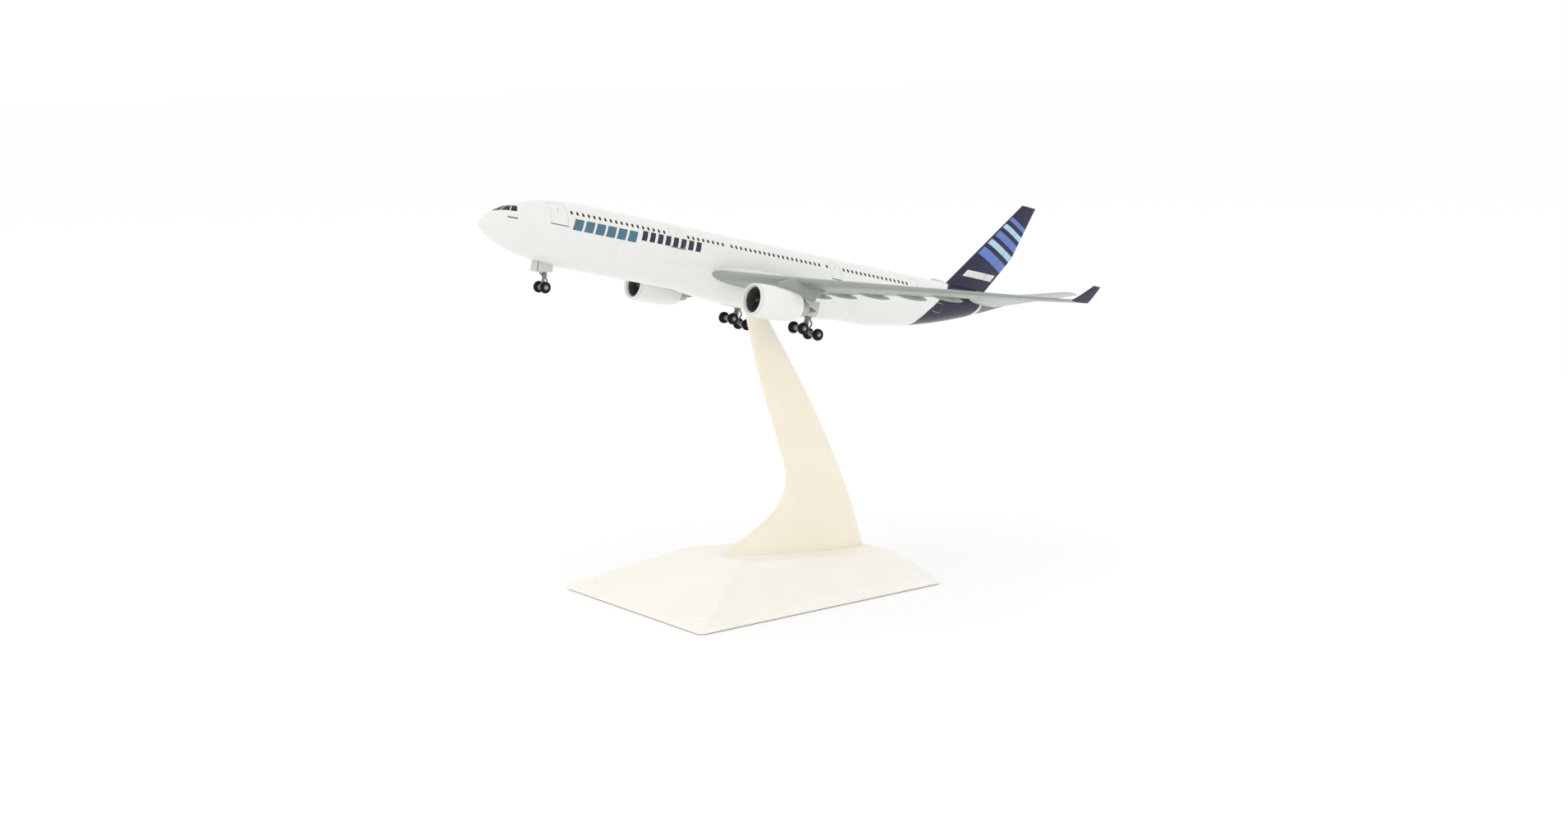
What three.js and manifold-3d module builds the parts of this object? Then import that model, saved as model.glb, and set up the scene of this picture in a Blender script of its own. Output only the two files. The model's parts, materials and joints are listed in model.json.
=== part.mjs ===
// Desktop airliner model, 1:200: a wide-body twin with its landing gear down, moulded in plastic and
// pressed onto a swept stand with a wedge-shaped base.
//
// Millimetres, +Z up. The nose points to -Y and the aircraft's left wing to +X. The finished model is
// centred on X and Y and stands on Z = 0.

import * as THREE from 'three';
import { mergeVertices } from 'three/addons/utils/BufferGeometryUtils.js';
import { ConvexGeometry } from 'three/addons/geometries/ConvexGeometry.js';
import Module from 'manifold-3d';

const wasm = await Module();
wasm.setup();

// ---------------------------------------------------------------- driving dimensions

const GAP = 0.3; // clearance between pieces that touch or plug together
const WALL = 1.6; // moulded wall of the fuselage

// Fuselage, by station: millimetres aft of the nose tip
const FUSELAGE_LENGTH = 308;
const FUSELAGE_RADIUS = 14.1;
const NOSE_LENGTH = 45; // stretch over which the nose grows to the full section
const NOSE_DROOP = 2; // nose tip below the fuselage centreline
const TAIL_UPSWEEP_LENGTH = 102; // stretch over which the belly rises to the tail cone
const TAIL_TAPER_LENGTH = 96; // stretch over which the plan narrows to the tail cone
const TAIL_CROWN_DROP = 0.8; // how far the crown falls by the tail end
const TAIL_RISE_POWER = 1.65; // 1 is a straight rise of the belly, 2 a parabola
const TAIL_END_RADIUS = 1.3;
const TAIL_CONE_LENGTH = 26;

// Wing, one side
const SEMI_SPAN = 146.5; // centreline to the winglet joint
const WING_ROOT_X = 14;
const WING_ROOT_STATION = 111.5; // leading edge at WING_ROOT_X
const WING_SWEEP = 33.65; // degrees, leading edge
const WING_DIHEDRAL = 5.1; // degrees
const WING_ROOT_HEIGHT = -4.5;
const ROOT_CHORD = 51;
const KINK_X = 47;
const KINK_CHORD = 36;
const TIP_CHORD = 9.6;
const ROOT_INCIDENCE = 2; // degrees, fading to none at the tip
const WINGLET_HEIGHT = 7.4;
const CANOE_POSITIONS = [27, 41, 57, 74, 90]; // flap-track fairings, distance from the centreline
const CANOE_LENGTH = 19;

// Tail surfaces
const FIN_HEIGHT = 60.2; // above the fuselage centreline
const FIN_ROOT_STATION = FUSELAGE_LENGTH - 45.2;
const FIN_SWEEP = 42.7; // degrees
const FIN_ROOT_CHORD = 28.4;
const FIN_TIP_CHORD = 9.4;
const TAILPLANE_SEMI_SPAN = 49.5;
const TAILPLANE_ROOT_X = 6;
const TAILPLANE_STATION = FUSELAGE_LENGTH - 38;
const TAILPLANE_ROOT_CHORD = 24;
const TAILPLANE_TIP_CHORD = 9;
const TAILPLANE_SWEEP = 30.5; // degrees
const TAILPLANE_DIHEDRAL = 14; // degrees
const TAILPLANE_HEIGHT = 7.5; // at TAILPLANE_ROOT_X

// Belly fairing
const FAIRING_LENGTH = 98;
const FAIRING_WIDTH = 2 * FUSELAGE_RADIUS + 3.6;
const FAIRING_DEPTH = FUSELAGE_RADIUS + 2.9; // its lowest point below the fuselage centreline

// Engines
const ENGINE_X = 46;
const ENGINE_STATION = 110.5; // inlet lip
const ENGINE_HEIGHT = -13.5;
const COWL_LENGTH = 24.4;
const COWL_RADIUS = 7.4;
const FAN_RADIUS = 5.2;
const FAN_BLADES = 12;
const CORE_RADIUS = 4.3;

// Landing gear
const NOSE_GEAR_STATION = 34.8;
const NOSE_AXLE_HEIGHT = -FUSELAGE_RADIUS - 9.4;
const NOSE_WHEEL_RADIUS = 2.5;
const NOSE_WHEEL_WIDTH = 1.7;
const NOSE_TRACK = 5.4;
const MAIN_GEAR_X = 26.6;
const MAIN_GEAR_STATION = 158.4;
const BOGIE_HEIGHT = -FUSELAGE_RADIUS - 8.2; // middle of the bogie beam
const MAIN_WHEEL_RADIUS = 2.7;
const MAIN_WHEEL_WIDTH = 2.5;
const BOGIE_TRACK = 7;
const BOGIE_WHEELBASE = 9;
const BOGIE_TILT = 10; // degrees, the rear axle hanging low
const AXLE_RADIUS = 0.5;

// Stand
const PITCH = 13.16; // degrees nose-up
const SEAT_STATION = 148.5; // where the stand meets the belly
const SEAT_Y = -5.3; // the seat's place over the base
const SEAT_HEIGHT = 128.3; // the seat above the desk
const PLUG_SIZE = [4, 8, 8.5]; // across, fore-and-aft, tall
const SOCKET_WALL = 1.6;
const BASE_WIDTH = 109;
const BASE_FRONT = -78;
const BASE_REAR = 60;
const BASE_CORNER = 3; // corner radius in plan
const BASE_WALL = 2;
const BASE_LIP = 1.5; // upright edge around the bottom
const DECK_FRONT = { y: -30.6, halfWidth: 21, z: 18.4 };
const DECK_REAR = { y: 58, halfWidth: 23.5, z: 10.2 };
const RIM_HEIGHT = 0.5; // the base's rim above the desk
const FOOT_RADIUS = 5;
const FOOT_THICKNESS = 1.2;
const SCREW_PLACES = { front: 6, rear: 38 }; // Y of the two screws that hold the stand's blade
const SCREW_RADIUS = 0.95;

// ---------------------------------------------------------------- materials

const PAINT = {
  white: [0xf1f1ec, 0.3, 0],
  navy: [0x3f3f62, 0.35, 0],
  plum: [0x4f4656, 0.4, 0],
  wingGrey: [0xa9aeab, 0.4, 0],
  metalGrey: [0xb8b5ac, 0.35, 0.4],
  darkGrey: [0x78777a, 0.4, 0.3],
  strutGrey: [0xc9c9c4, 0.4, 0.2],
  tyre: [0x2d2d2e, 0.8, 0],
  steel: [0xb9bcc0, 0.3, 0.9],
  cream: [0xf2ebd9, 0.35, 0],
  rubber: [0x3a3a3a, 0.9, 0],
};

function material(name) {
  const [color, roughness, metalness] = PAINT[name];
  return new THREE.MeshStandardMaterial({ color, roughness, metalness });
}

// ---------------------------------------------------------------- solids

const rad = THREE.MathUtils.degToRad;
const lerp = THREE.MathUtils.lerp;
const clamp01 = (value) => THREE.MathUtils.clamp(value, 0, 1);
const tan = (degrees) => Math.tan(rad(degrees));

/** Turns a closed geometry into a solid, dropping collapsed triangles and facing it outwards. */
function solid(geometry) {
  const bare = geometry.clone();
  bare.deleteAttribute('normal');
  bare.deleteAttribute('uv');
  const merged = mergeVertices(bare, 1e-4);
  const points = merged.attributes.position.array;
  const index = merged.index.array;
  const triangles = [];
  let volume = 0;
  const corner = (i) => new THREE.Vector3().fromArray(points, 3 * i);
  for (let i = 0; i < index.length; i += 3) {
    const [a, b, c] = [index[i], index[i + 1], index[i + 2]];
    if (a === b || b === c || c === a) continue;
    triangles.push(a, b, c);
    volume += corner(a).dot(corner(b).cross(corner(c)));
  }
  if (volume < 0) triangles.reverse();
  const mesh = new wasm.Mesh({
    numProp: 3,
    vertProperties: new Float32Array(points),
    triVerts: new Uint32Array(triangles),
  });
  return new wasm.Manifold(mesh);
}

/** Closed skin through rings of points: place(k, angle) gives a point of ring k. */
function skin(sides, rings, place) {
  const geometry = new THREE.CylinderGeometry(1, 1, 1, sides, rings - 1);
  const spots = geometry.attributes.position;
  for (let i = 0; i < spots.count; i += 1) {
    const ring = Math.round((spots.getY(i) + 0.5) * (rings - 1));
    const x = spots.getX(i);
    const z = spots.getZ(i);
    if (Math.hypot(x, z) > 0.5) {
      spots.setXYZ(i, ...place(ring, Math.atan2(x, z)));
    } else {
      const front = place(ring, 0);
      const back = place(ring, Math.PI);
      spots.setXYZ(i, ...front.map((value, axis) => (value + back[axis]) / 2));
    }
  }
  return solid(geometry);
}

/** A box between two corners. */
function block(low, high) {
  const size = high.map((value, axis) => value - low[axis]);
  const geometry = new THREE.BoxGeometry(...size);
  geometry.translate(...high.map((value, axis) => (value + low[axis]) / 2));
  return solid(geometry);
}

/** A box around a centre, grown by a clearance on every side. */
function blockAt(centre, size, grow = 0) {
  const half = size.map((value) => value / 2 + grow);
  return block(
    centre.map((value, axis) => value - half[axis]),
    centre.map((value, axis) => value + half[axis]),
  );
}

/** A round bar along one axis, from one coordinate to another, through a point. */
function bar(axis, radius, from, to, centre, sides = 12) {
  const geometry = new THREE.CylinderGeometry(radius, radius, to - from, sides);
  const middle = (from + to) / 2;
  if (axis === 'x') {
    geometry.rotateZ(Math.PI / 2);
    geometry.translate(middle, centre[1], centre[2]);
  } else if (axis === 'y') {
    geometry.translate(centre[0], middle, centre[2]);
  } else {
    geometry.rotateX(Math.PI / 2);
    geometry.translate(centre[0], centre[1], middle);
  }
  return solid(geometry);
}

/** A turned piece about the Y axis from [radius, y] pairs. */
function turned(profile, sides) {
  const points = profile.map(([radius, y]) => new THREE.Vector2(radius, y));
  return solid(new THREE.LatheGeometry(points, sides));
}

/** A plate across X from an outline of [y, z] pairs. */
function plate(outline, thickness, x = 0) {
  const shape = new THREE.Shape(outline.map(([y, z]) => new THREE.Vector2(y, z)));
  const geometry = new THREE.ExtrudeGeometry(shape, { depth: thickness, bevelEnabled: false });
  const turn = new THREE.Matrix4().set(0, 0, 1, x - thickness / 2, 1, 0, 0, 0, 0, 1, 0, 0, 0, 0, 0, 1);
  geometry.applyMatrix4(turn);
  return solid(geometry);
}

const joined = (solids) => solids.reduce((total, one) => total.add(one));
const cutBy = (start, tools) => tools.reduce((total, one) => total.subtract(one), start);

function geometryOf(manifold) {
  const mesh = manifold.getMesh();
  const geometry = new THREE.BufferGeometry();
  geometry.setAttribute('position', new THREE.BufferAttribute(new Float32Array(mesh.vertProperties), 3));
  geometry.setIndex(new THREE.BufferAttribute(new Uint32Array(mesh.triVerts), 1));
  geometry.computeVertexNormals();
  return geometry;
}

function addPart(group, name, manifold, paint) {
  const mesh = new THREE.Mesh(geometryOf(manifold), material(paint));
  mesh.name = name;
  group.add(mesh);
  return mesh;
}

const SIDES = [
  { name: 'left', sign: 1 },
  { name: 'right', sign: -1 },
];

// ---------------------------------------------------------------- fuselage form

const TAIL_CONE_STATION = FUSELAGE_LENGTH - TAIL_CONE_LENGTH;
const UPSWEEP_START = FUSELAGE_LENGTH - TAIL_UPSWEEP_LENGTH;
const TAPER_START = FUSELAGE_LENGTH - TAIL_TAPER_LENGTH;

/** Share of the full section that the nose has reached at a station. */
function noseGrowth(station, fullness) {
  const rest = 1 - clamp01(station / NOSE_LENGTH);
  return (1 - rest * rest) ** fullness;
}

function crownHeight(station) {
  const fall = clamp01((station - UPSWEEP_START) / TAIL_UPSWEEP_LENGTH) ** 2 * TAIL_CROWN_DROP;
  return -NOSE_DROOP + (FUSELAGE_RADIUS + NOSE_DROOP) * noseGrowth(station, 0.66) - fall;
}

function bellyHeight(station) {
  const endHeight = FUSELAGE_RADIUS - TAIL_CROWN_DROP - 2 * TAIL_END_RADIUS;
  const rise = clamp01((station - UPSWEEP_START) / TAIL_UPSWEEP_LENGTH) ** TAIL_RISE_POWER;
  const nose = -NOSE_DROOP - (FUSELAGE_RADIUS - NOSE_DROOP) * noseGrowth(station, 0.6);
  return nose + (endHeight + FUSELAGE_RADIUS) * rise;
}

function halfWidth(station) {
  const narrowing = clamp01((station - TAPER_START) / TAIL_TAPER_LENGTH) ** 1.75;
  return FUSELAGE_RADIUS * noseGrowth(station, 0.58) - (FUSELAGE_RADIUS - TAIL_END_RADIUS) * narrowing;
}

/** Height of the widest line of the section. */
function waistHeight(station) {
  const rest = 1 - clamp01(station / NOSE_LENGTH);
  if (station < NOSE_LENGTH) return -NOSE_DROOP * rest * rest;
  return (crownHeight(station) + bellyHeight(station)) / 2;
}

function fuselagePoint(station, angle, grow) {
  const waist = waistHeight(station);
  const reach = Math.cos(angle) > 0 ? crownHeight(station) - waist : waist - bellyHeight(station);
  const across = (halfWidth(station) + grow) * Math.sin(angle);
  return [across, station, waist + (reach + grow) * Math.cos(angle)];
}

/** Even steps down the tail. */
function tailStations(from, to, steps) {
  return Array.from({ length: steps + 1 }, (_, k) => lerp(from, to, k / steps));
}

/** Stations close together at the nose tip, none needed along the tube, and even down the tail. */
function fuselageStations(from, to, noseSteps, tailSteps) {
  const nose = Array.from({ length: noseSteps + 1 }, (_, k) => lerp(from, NOSE_LENGTH, (k / noseSteps) ** 2));
  return [...nose, ...tailStations(UPSWEEP_START, to, tailSteps)];
}

/** The filled form through a list of stations, grown or shrunk all over. */
function fuselageForm(stations, grow, sides) {
  return skin(sides, stations.length, (k, angle) => fuselagePoint(stations[k], angle, grow));
}

// ---------------------------------------------------------------- wing form

const wingLeadingEdge = (x) => WING_ROOT_STATION + (x - WING_ROOT_X) * tan(WING_SWEEP);

function wingChord(x) {
  if (x < KINK_X) return lerp(ROOT_CHORD, KINK_CHORD, (x - WING_ROOT_X) / (KINK_X - WING_ROOT_X));
  return lerp(KINK_CHORD, TIP_CHORD, (x - KINK_X) / (SEMI_SPAN - KINK_X));
}

const wingTrailingEdge = (x) => wingLeadingEdge(x) + wingChord(x);

/** Height of the wing's chord plane at a distance out and a station. */
function wingHeight(x, station) {
  const incidence = lerp(ROOT_INCIDENCE, 0, clamp01((x - WING_ROOT_X) / (SEMI_SPAN - WING_ROOT_X)));
  const atLeadingEdge = WING_ROOT_HEIGHT + (x - WING_ROOT_X) * tan(WING_DIHEDRAL);
  return atLeadingEdge - (station - wingLeadingEdge(x)) * tan(incidence);
}

/** Half thickness of a symmetric aerofoil as a share of its chord, with a blunt trailing edge. */
function aerofoil(share, thickness) {
  const front = 0.2969 * Math.sqrt(share) - 0.126 * share;
  const rear = -0.3516 * share ** 2 + 0.2843 * share ** 3 - 0.0985 * share ** 4;
  return 5 * thickness * (front + rear);
}

/** A point on an aerofoil ring whose chord runs fore and aft; side keeps the skin facing outwards. */
function foilOffset(angle, side, chord, thickness, grow) {
  const share = clamp01((1 - side * Math.sin(angle)) / 2);
  const rise = Math.abs(Math.cos(angle)) < 1e-6 ? 0 : Math.sign(Math.cos(angle));
  const along = share * chord + (2 * share - 1) * grow;
  return { along, up: rise * (aerofoil(share, thickness) * chord + grow) };
}

const WING_INNER_X = 8; // the wing's form starts inside the fuselage and is cut back to its skin

function wingForm(side, grow = 0) {
  const distances = [WING_INNER_X, WING_ROOT_X, KINK_X, SEMI_SPAN];
  return skin(18, distances.length, (k, angle) => {
    const x = distances[k];
    const chord = wingChord(x);
    const thickness = lerp(0.125, 0.095, clamp01(x / SEMI_SPAN));
    const offset = foilOffset(angle, side, chord, thickness, grow);
    const station = wingLeadingEdge(x) + offset.along;
    const reach = k === distances.length - 1 ? x + grow : x;
    return [side * reach, station, wingHeight(x, station) + offset.up];
  });
}

// ---------------------------------------------------------------- belly fairing form

const FAIRING_START = SEAT_STATION - FAIRING_LENGTH / 2;
const FAIRING_WAIST = -3; // height of its widest line
const FAIRING_END = { halfWidth: FUSELAGE_RADIUS - 4.1, depth: FUSELAGE_RADIUS - 4.6, rise: 4 };
const FAIRING_RISE = 6.5; // above its widest line, amidships

/** Boat-shaped body that swells out of the fuselage and fades back into it. */
function fairingForm(grow = 0) {
  const rings = 11;
  return skin(24, rings, (k, angle) => {
    const share = k / (rings - 1);
    const swell = Math.sqrt(Math.sin(Math.PI * share));
    const wide = lerp(FAIRING_END.halfWidth, FAIRING_WIDTH / 2, swell) + grow;
    const deep = lerp(FAIRING_END.depth, FAIRING_DEPTH + FAIRING_WAIST, swell) + grow;
    const tall = lerp(FAIRING_END.rise, FAIRING_RISE, swell) + grow;
    const power = 2 / 2.6;
    const sine = Math.sin(angle);
    const cosine = Math.cos(angle);
    const across = Math.sign(sine) * Math.abs(sine) ** power * wide;
    const up = Math.sign(cosine) * Math.abs(cosine) ** power * (cosine > 0 ? tall : deep);
    return [across, FAIRING_START + share * FAIRING_LENGTH, FAIRING_WAIST + up];
  });
}

// ---------------------------------------------------------------- tabs and slots

const WING_TAB = {
  from: FUSELAGE_RADIUS - 4.6,
  to: FUSELAGE_RADIUS + 7.9,
  station: WING_ROOT_STATION + 0.52 * ROOT_CHORD,
  length: 20,
  thickness: 2,
};
const TAILPLANE_TAB = {
  inside: 4.6,
  outside: 3.8,
  station: TAILPLANE_STATION + 5.2,
  length: 4.4,
  thickness: 1.3,
};
const FIN_TAB = { station: FIN_ROOT_STATION + 8, length: 10, thickness: 1.6, inside: 4, outside: 4.5 };
const NOSE_LEG_TENON = { across: 2.6, along: 2.6, inside: 2.8, outside: 2.2 };
const NOSE_DOOR = {
  x: 2,
  thickness: 0.7,
  front: NOSE_GEAR_STATION - 4.8,
  length: 7.2,
  drop: 3.9, // below the belly, at its front
  rearRise: 1.1, // of its lower edge towards the rear
};
const NOSE_DOOR_TAB = { station: NOSE_GEAR_STATION - 3, length: 2.4, inside: 2.9, outside: 1.6 };
const NOSE_DRAG_PLATE = { halfWidth: 2.2, thickness: 0.7 };
const STRUT_TAB = { along: 6, thickness: 1.4, station: ENGINE_STATION + 30 };
const GEAR_BOSS = { radius: 2.3, pin: 1, depth: 2.6, drop: 3.6 };

function wingTab(side, grow = 0) {
  const middle = (WING_TAB.from + WING_TAB.to) / 2;
  const height = wingHeight(WING_ROOT_X, WING_TAB.station);
  const size = [WING_TAB.to - WING_TAB.from, WING_TAB.length, WING_TAB.thickness];
  return blockAt([side * middle, WING_TAB.station, height], size, grow);
}

/** Height of the tailplane's chord plane at a distance out. */
const tailplaneHeight = (x) => TAILPLANE_HEIGHT + (x - TAILPLANE_ROOT_X) * tan(TAILPLANE_DIHEDRAL);

function tailplaneTab(side, grow = 0) {
  const skinX = halfWidth(TAILPLANE_TAB.station);
  const middle = skinX + (TAILPLANE_TAB.outside - TAILPLANE_TAB.inside) / 2;
  const size = [TAILPLANE_TAB.inside + TAILPLANE_TAB.outside, TAILPLANE_TAB.length, TAILPLANE_TAB.thickness];
  return blockAt([side * middle, TAILPLANE_TAB.station, tailplaneHeight(skinX) + 0.25], size, grow);
}

/** A block across the skin's surface at a height, from inside it to outside it. */
function blockThroughSkin(x, station, low, high, across, along, grow) {
  return blockAt([x, station, (low + high) / 2], [across, along, high - low], grow);
}

function finTab(grow = 0) {
  const crown = crownHeight(FIN_TAB.station);
  const [low, high] = [crown - FIN_TAB.inside, crown + FIN_TAB.outside];
  return blockThroughSkin(0, FIN_TAB.station, low, high, FIN_TAB.thickness, FIN_TAB.length, grow);
}

function noseLegTenon(grow = 0) {
  const belly = bellyHeight(NOSE_GEAR_STATION);
  const [low, high] = [belly - NOSE_LEG_TENON.outside, belly + NOSE_LEG_TENON.inside];
  return blockThroughSkin(0, NOSE_GEAR_STATION, low, high, NOSE_LEG_TENON.across, NOSE_LEG_TENON.along, grow);
}

function noseDoorTab(side, grow = 0) {
  const { station, length, inside, outside } = NOSE_DOOR_TAB;
  const belly = bellyHeight(station);
  const [low, high] = [belly - outside, belly + inside];
  return blockThroughSkin(side * NOSE_DOOR.x, station, low, high, NOSE_DOOR.thickness, length, grow);
}

// ---------------------------------------------------------------- stand plug and its socket

const PLUG_BOTTOM = -FAIRING_DEPTH - GAP;

/** The plug, upright from the seat, in the aircraft's own axes. */
function plugForm(grow = 0) {
  const [across, along, tall] = PLUG_SIZE;
  const middle = PLUG_BOTTOM + tall / 2 - 1;
  return blockAt([0, SEAT_STATION, middle], [across, along, tall + 2], grow);
}

// ---------------------------------------------------------------- fuselage pieces

const PIN_STATIONS = [64, FUSELAGE_LENGTH - 94, FUSELAGE_LENGTH - 58];

/** Pin bosses reach from the side wall to the joint face; the left half has pins, the right holes. */
function fuselageHalf(side, outer, inner) {
  const reach = 2 * FUSELAGE_RADIUS;
  const near = side > 0 ? GAP / 2 : -reach;
  const far = side > 0 ? reach : -GAP / 2;
  const halfSpace = block([near, -10, -reach], [far, FUSELAGE_LENGTH + 10, reach]);
  const bosses = PIN_STATIONS.map((station) => {
    const ends = [side * (GAP / 2), side * (halfWidth(station) - WALL / 2)].sort((a, b) => a - b);
    return bar('x', 2.4, ends[0], ends[1], [0, station, waistHeight(station)], 10);
  });
  const shell = outer.subtract(inner).intersect(halfSpace);
  const cuts = [
    wingTab(side, GAP),
    tailplaneTab(side, GAP),
    finTab(GAP),
    noseLegTenon(GAP),
    noseDoorTab(side, GAP),
    socketForm(GAP),
  ];
  const half = cutBy(joined([shell, ...bosses]), cuts);
  const pinLength = 3;
  const pins = PIN_STATIONS.map((station) => {
    const place = [0, station, waistHeight(station)];
    if (side > 0) return bar('x', 1, -pinLength, 1, place, 8);
    return bar('x', 1 + GAP, -pinLength - GAP, 1, place, 8);
  });
  return side > 0 ? joined([half, ...pins]) : cutBy(half, pins);
}

/** Block inside the belly that the stand's plug presses into. */
function socketForm(grow = 0) {
  const [across, along, tall] = PLUG_SIZE;
  const top = PLUG_BOTTOM + tall + GAP + SOCKET_WALL;
  const low = -FUSELAGE_RADIUS - 1;
  const size = [across + 2 * (GAP + SOCKET_WALL), along + 2 * (GAP + SOCKET_WALL), top - low];
  return blockAt([0, SEAT_STATION, (top + low) / 2], size, grow);
}

function bellyFairing(fairing, fuselageGrown) {
  const saddle = fairing.subtract(fuselageGrown);
  const slots = SIDES.map(({ sign }) => wingTab(sign, GAP));
  return cutBy(saddle.add(socketForm()), [...slots, plugForm(GAP)]);
}

function tailCone() {
  const cone = fuselageForm(tailStations(TAIL_CONE_STATION + GAP, FUSELAGE_LENGTH, 4), 0, 18);
  const fit = -(WALL + GAP + 0.4);
  const spigot = fuselageForm([TAIL_CONE_STATION - 4, TAIL_CONE_STATION + 1], fit, 18);
  const end = [0, 0, waistHeight(FUSELAGE_LENGTH)];
  const exhaust = bar('y', 0.5 * TAIL_END_RADIUS, FUSELAGE_LENGTH - 1.5, FUSELAGE_LENGTH + 1, end, 8);
  return cone.add(spigot).subtract(exhaust);
}

// ---------------------------------------------------------------- wings, winglets and tail

function canoe(side, x) {
  const trailing = wingTrailingEdge(x);
  const start = trailing + 5 - CANOE_LENGTH;
  const rings = 5;
  return skin(8, rings, (k, angle) => {
    const share = k / (rings - 1);
    const swell = Math.sqrt(Math.max(0, Math.sin(Math.PI * share ** 0.8)));
    const station = start + share * CANOE_LENGTH;
    const height = wingHeight(x, Math.min(station, trailing)) - 0.9;
    return [side * x + 0.95 * swell * Math.sin(angle), station, height + 1.35 * swell * Math.cos(angle)];
  });
}

function gearBossPlace(side) {
  return [side * MAIN_GEAR_X, MAIN_GEAR_STATION, wingHeight(MAIN_GEAR_X, MAIN_GEAR_STATION)];
}

function strutTab(side, grow = 0) {
  const height = wingHeight(ENGINE_X, STRUT_TAB.station);
  const low = height - 4;
  const high = height - 0.2;
  const size = [STRUT_TAB.thickness, STRUT_TAB.along, high - low];
  return blockAt([side * ENGINE_X, STRUT_TAB.station, (low + high) / 2], size, grow);
}

function wing(side, fuselageGrown, fairingGrown) {
  const [x, station, height] = gearBossPlace(side);
  const bossLow = height - GEAR_BOSS.drop;
  const panel = wingForm(side).subtract(fuselageGrown).subtract(fairingGrown);
  const boss = bar('z', GEAR_BOSS.radius, bossLow, height - 0.2, [x, station, 0]);
  const socket = bar('z', GEAR_BOSS.pin + GAP, bossLow - 1, bossLow + GEAR_BOSS.depth, [x, station, 0]);
  const whole = joined([panel, boss, wingTab(side), ...CANOE_POSITIONS.map((place) => canoe(side, place))]);
  return cutBy(whole, [socket, strutTab(side, GAP)]);
}

/** Curved tip that turns from the wing's plane nearly upright. */
function winglet(side) {
  const start = SEMI_SPAN + GAP;
  const root = wingLeadingEdge(SEMI_SPAN);
  const rootHeight = wingHeight(SEMI_SPAN, root);
  const rings = 5;
  return skin(14, rings, (k, angle) => {
    const share = k / (rings - 1);
    const lean = rad(lerp(WING_DIHEDRAL, 78, Math.sqrt(share)));
    const chord = lerp(TIP_CHORD, 4.1, share);
    const offset = foilOffset(angle, side, chord, lerp(0.095, 0.12, share), 0);
    const out = start + 4.2 * share;
    const up = rootHeight + WINGLET_HEIGHT * share ** 1.15;
    const station = root + 7 * share + offset.along;
    return [side * (out - offset.up * Math.sin(lean)), station, up + offset.up * Math.cos(lean)];
  });
}

/** Fin and rudder in one: the trailing edge steps forward below the rudder. */
function fin(fuselageGrown) {
  const foot = FUSELAGE_RADIUS + 0.9;
  const rudderFoot = { height: foot + 17.6, station: FIN_ROOT_STATION + 40 };
  const rootTrailing = { height: foot + 2.4, station: FIN_ROOT_STATION + FIN_ROOT_CHORD };
  const heights = [foot - 4, rootTrailing.height, rudderFoot.height, FIN_HEIGHT];
  const leading = (z) => FIN_ROOT_STATION + (z - foot) * tan(FIN_SWEEP);
  const tipTrailing = leading(FIN_HEIGHT) + FIN_TIP_CHORD;
  const trailing = (z) => {
    if (z > rudderFoot.height) {
      const share = (z - rudderFoot.height) / (FIN_HEIGHT - rudderFoot.height);
      return lerp(rudderFoot.station, tipTrailing, share);
    }
    const share = (z - rootTrailing.height) / (rudderFoot.height - rootTrailing.height);
    return lerp(rootTrailing.station, rudderFoot.station, share);
  };
  const blade = skin(18, heights.length, (k, angle) => {
    const z = heights[k];
    const chord = trailing(z) - leading(z);
    const thickness = lerp(4.4, 1.4, clamp01((z - foot) / (FIN_HEIGHT - foot))) / chord;
    const offset = foilOffset(angle, 1, chord, thickness, 0);
    return [offset.up, leading(z) + offset.along, z];
  });
  return blade.subtract(fuselageGrown).add(finTab());
}

function tailplane(side, fuselageGrown) {
  const distances = [TAILPLANE_ROOT_X - 2, TAILPLANE_SEMI_SPAN];
  const panel = skin(16, distances.length, (k, angle) => {
    const x = distances[k];
    const share = (x - TAILPLANE_ROOT_X) / (TAILPLANE_SEMI_SPAN - TAILPLANE_ROOT_X);
    const chord = lerp(TAILPLANE_ROOT_CHORD, TAILPLANE_TIP_CHORD, share);
    const offset = foilOffset(angle, side, chord, 0.11, 0);
    const station = TAILPLANE_STATION + (x - TAILPLANE_ROOT_X) * tan(TAILPLANE_SWEEP) + offset.along;
    return [side * x, station, tailplaneHeight(x) + offset.up];
  });
  return panel.subtract(fuselageGrown).add(tailplaneTab(side));
}

// ---------------------------------------------------------------- engines, about their own axis

const FAN_FRONT = 5.6; // fan face behind the inlet lip
const FAN_BACK = 8.6;
const CORE_END = COWL_LENGTH + 5.6;
const PLUG_END = COWL_LENGTH + 11.8;
const STRUT_THICKNESS = 1.8;
const COWL_SLOT = 0.512 * COWL_LENGTH; // front of the strut's slot in the cowl
const CORE_SLOT = 0.574 * COWL_LENGTH; // front of the strut's slot in the core
const CORE_SLOT_FLOOR = 0.6 * CORE_RADIUS;
const NOZZLE_DEPTH = 4; // the core's open rear end
const PLUG_HOLE_DEPTH = 3; // beyond the nozzle's floor

function cowl() {
  const lip = 0.86 * COWL_RADIUS;
  const exit = 0.8 * COWL_RADIUS;
  const inside = FAN_RADIUS + 0.5;
  const shell = turned(
    [
      [lip - 0.6, 0],
      [lip + 0.3, 0.4],
      [0.975 * COWL_RADIUS, 0.14 * COWL_LENGTH],
      [COWL_RADIUS, 0.37 * COWL_LENGTH],
      [0.93 * COWL_RADIUS, 0.74 * COWL_LENGTH],
      [exit, COWL_LENGTH],
      [exit - 0.35, COWL_LENGTH],
      [inside, 0.615 * COWL_LENGTH],
      [inside, FAN_FRONT - 1],
      [inside - 0.5, 2],
      [lip - 0.6, 0],
    ],
    24,
  );
  const slotHalf = STRUT_THICKNESS / 2 + GAP;
  return shell.subtract(block([-slotHalf, COWL_SLOT, 0], [slotHalf, COWL_LENGTH + 1, 2 * COWL_RADIUS]));
}

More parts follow.
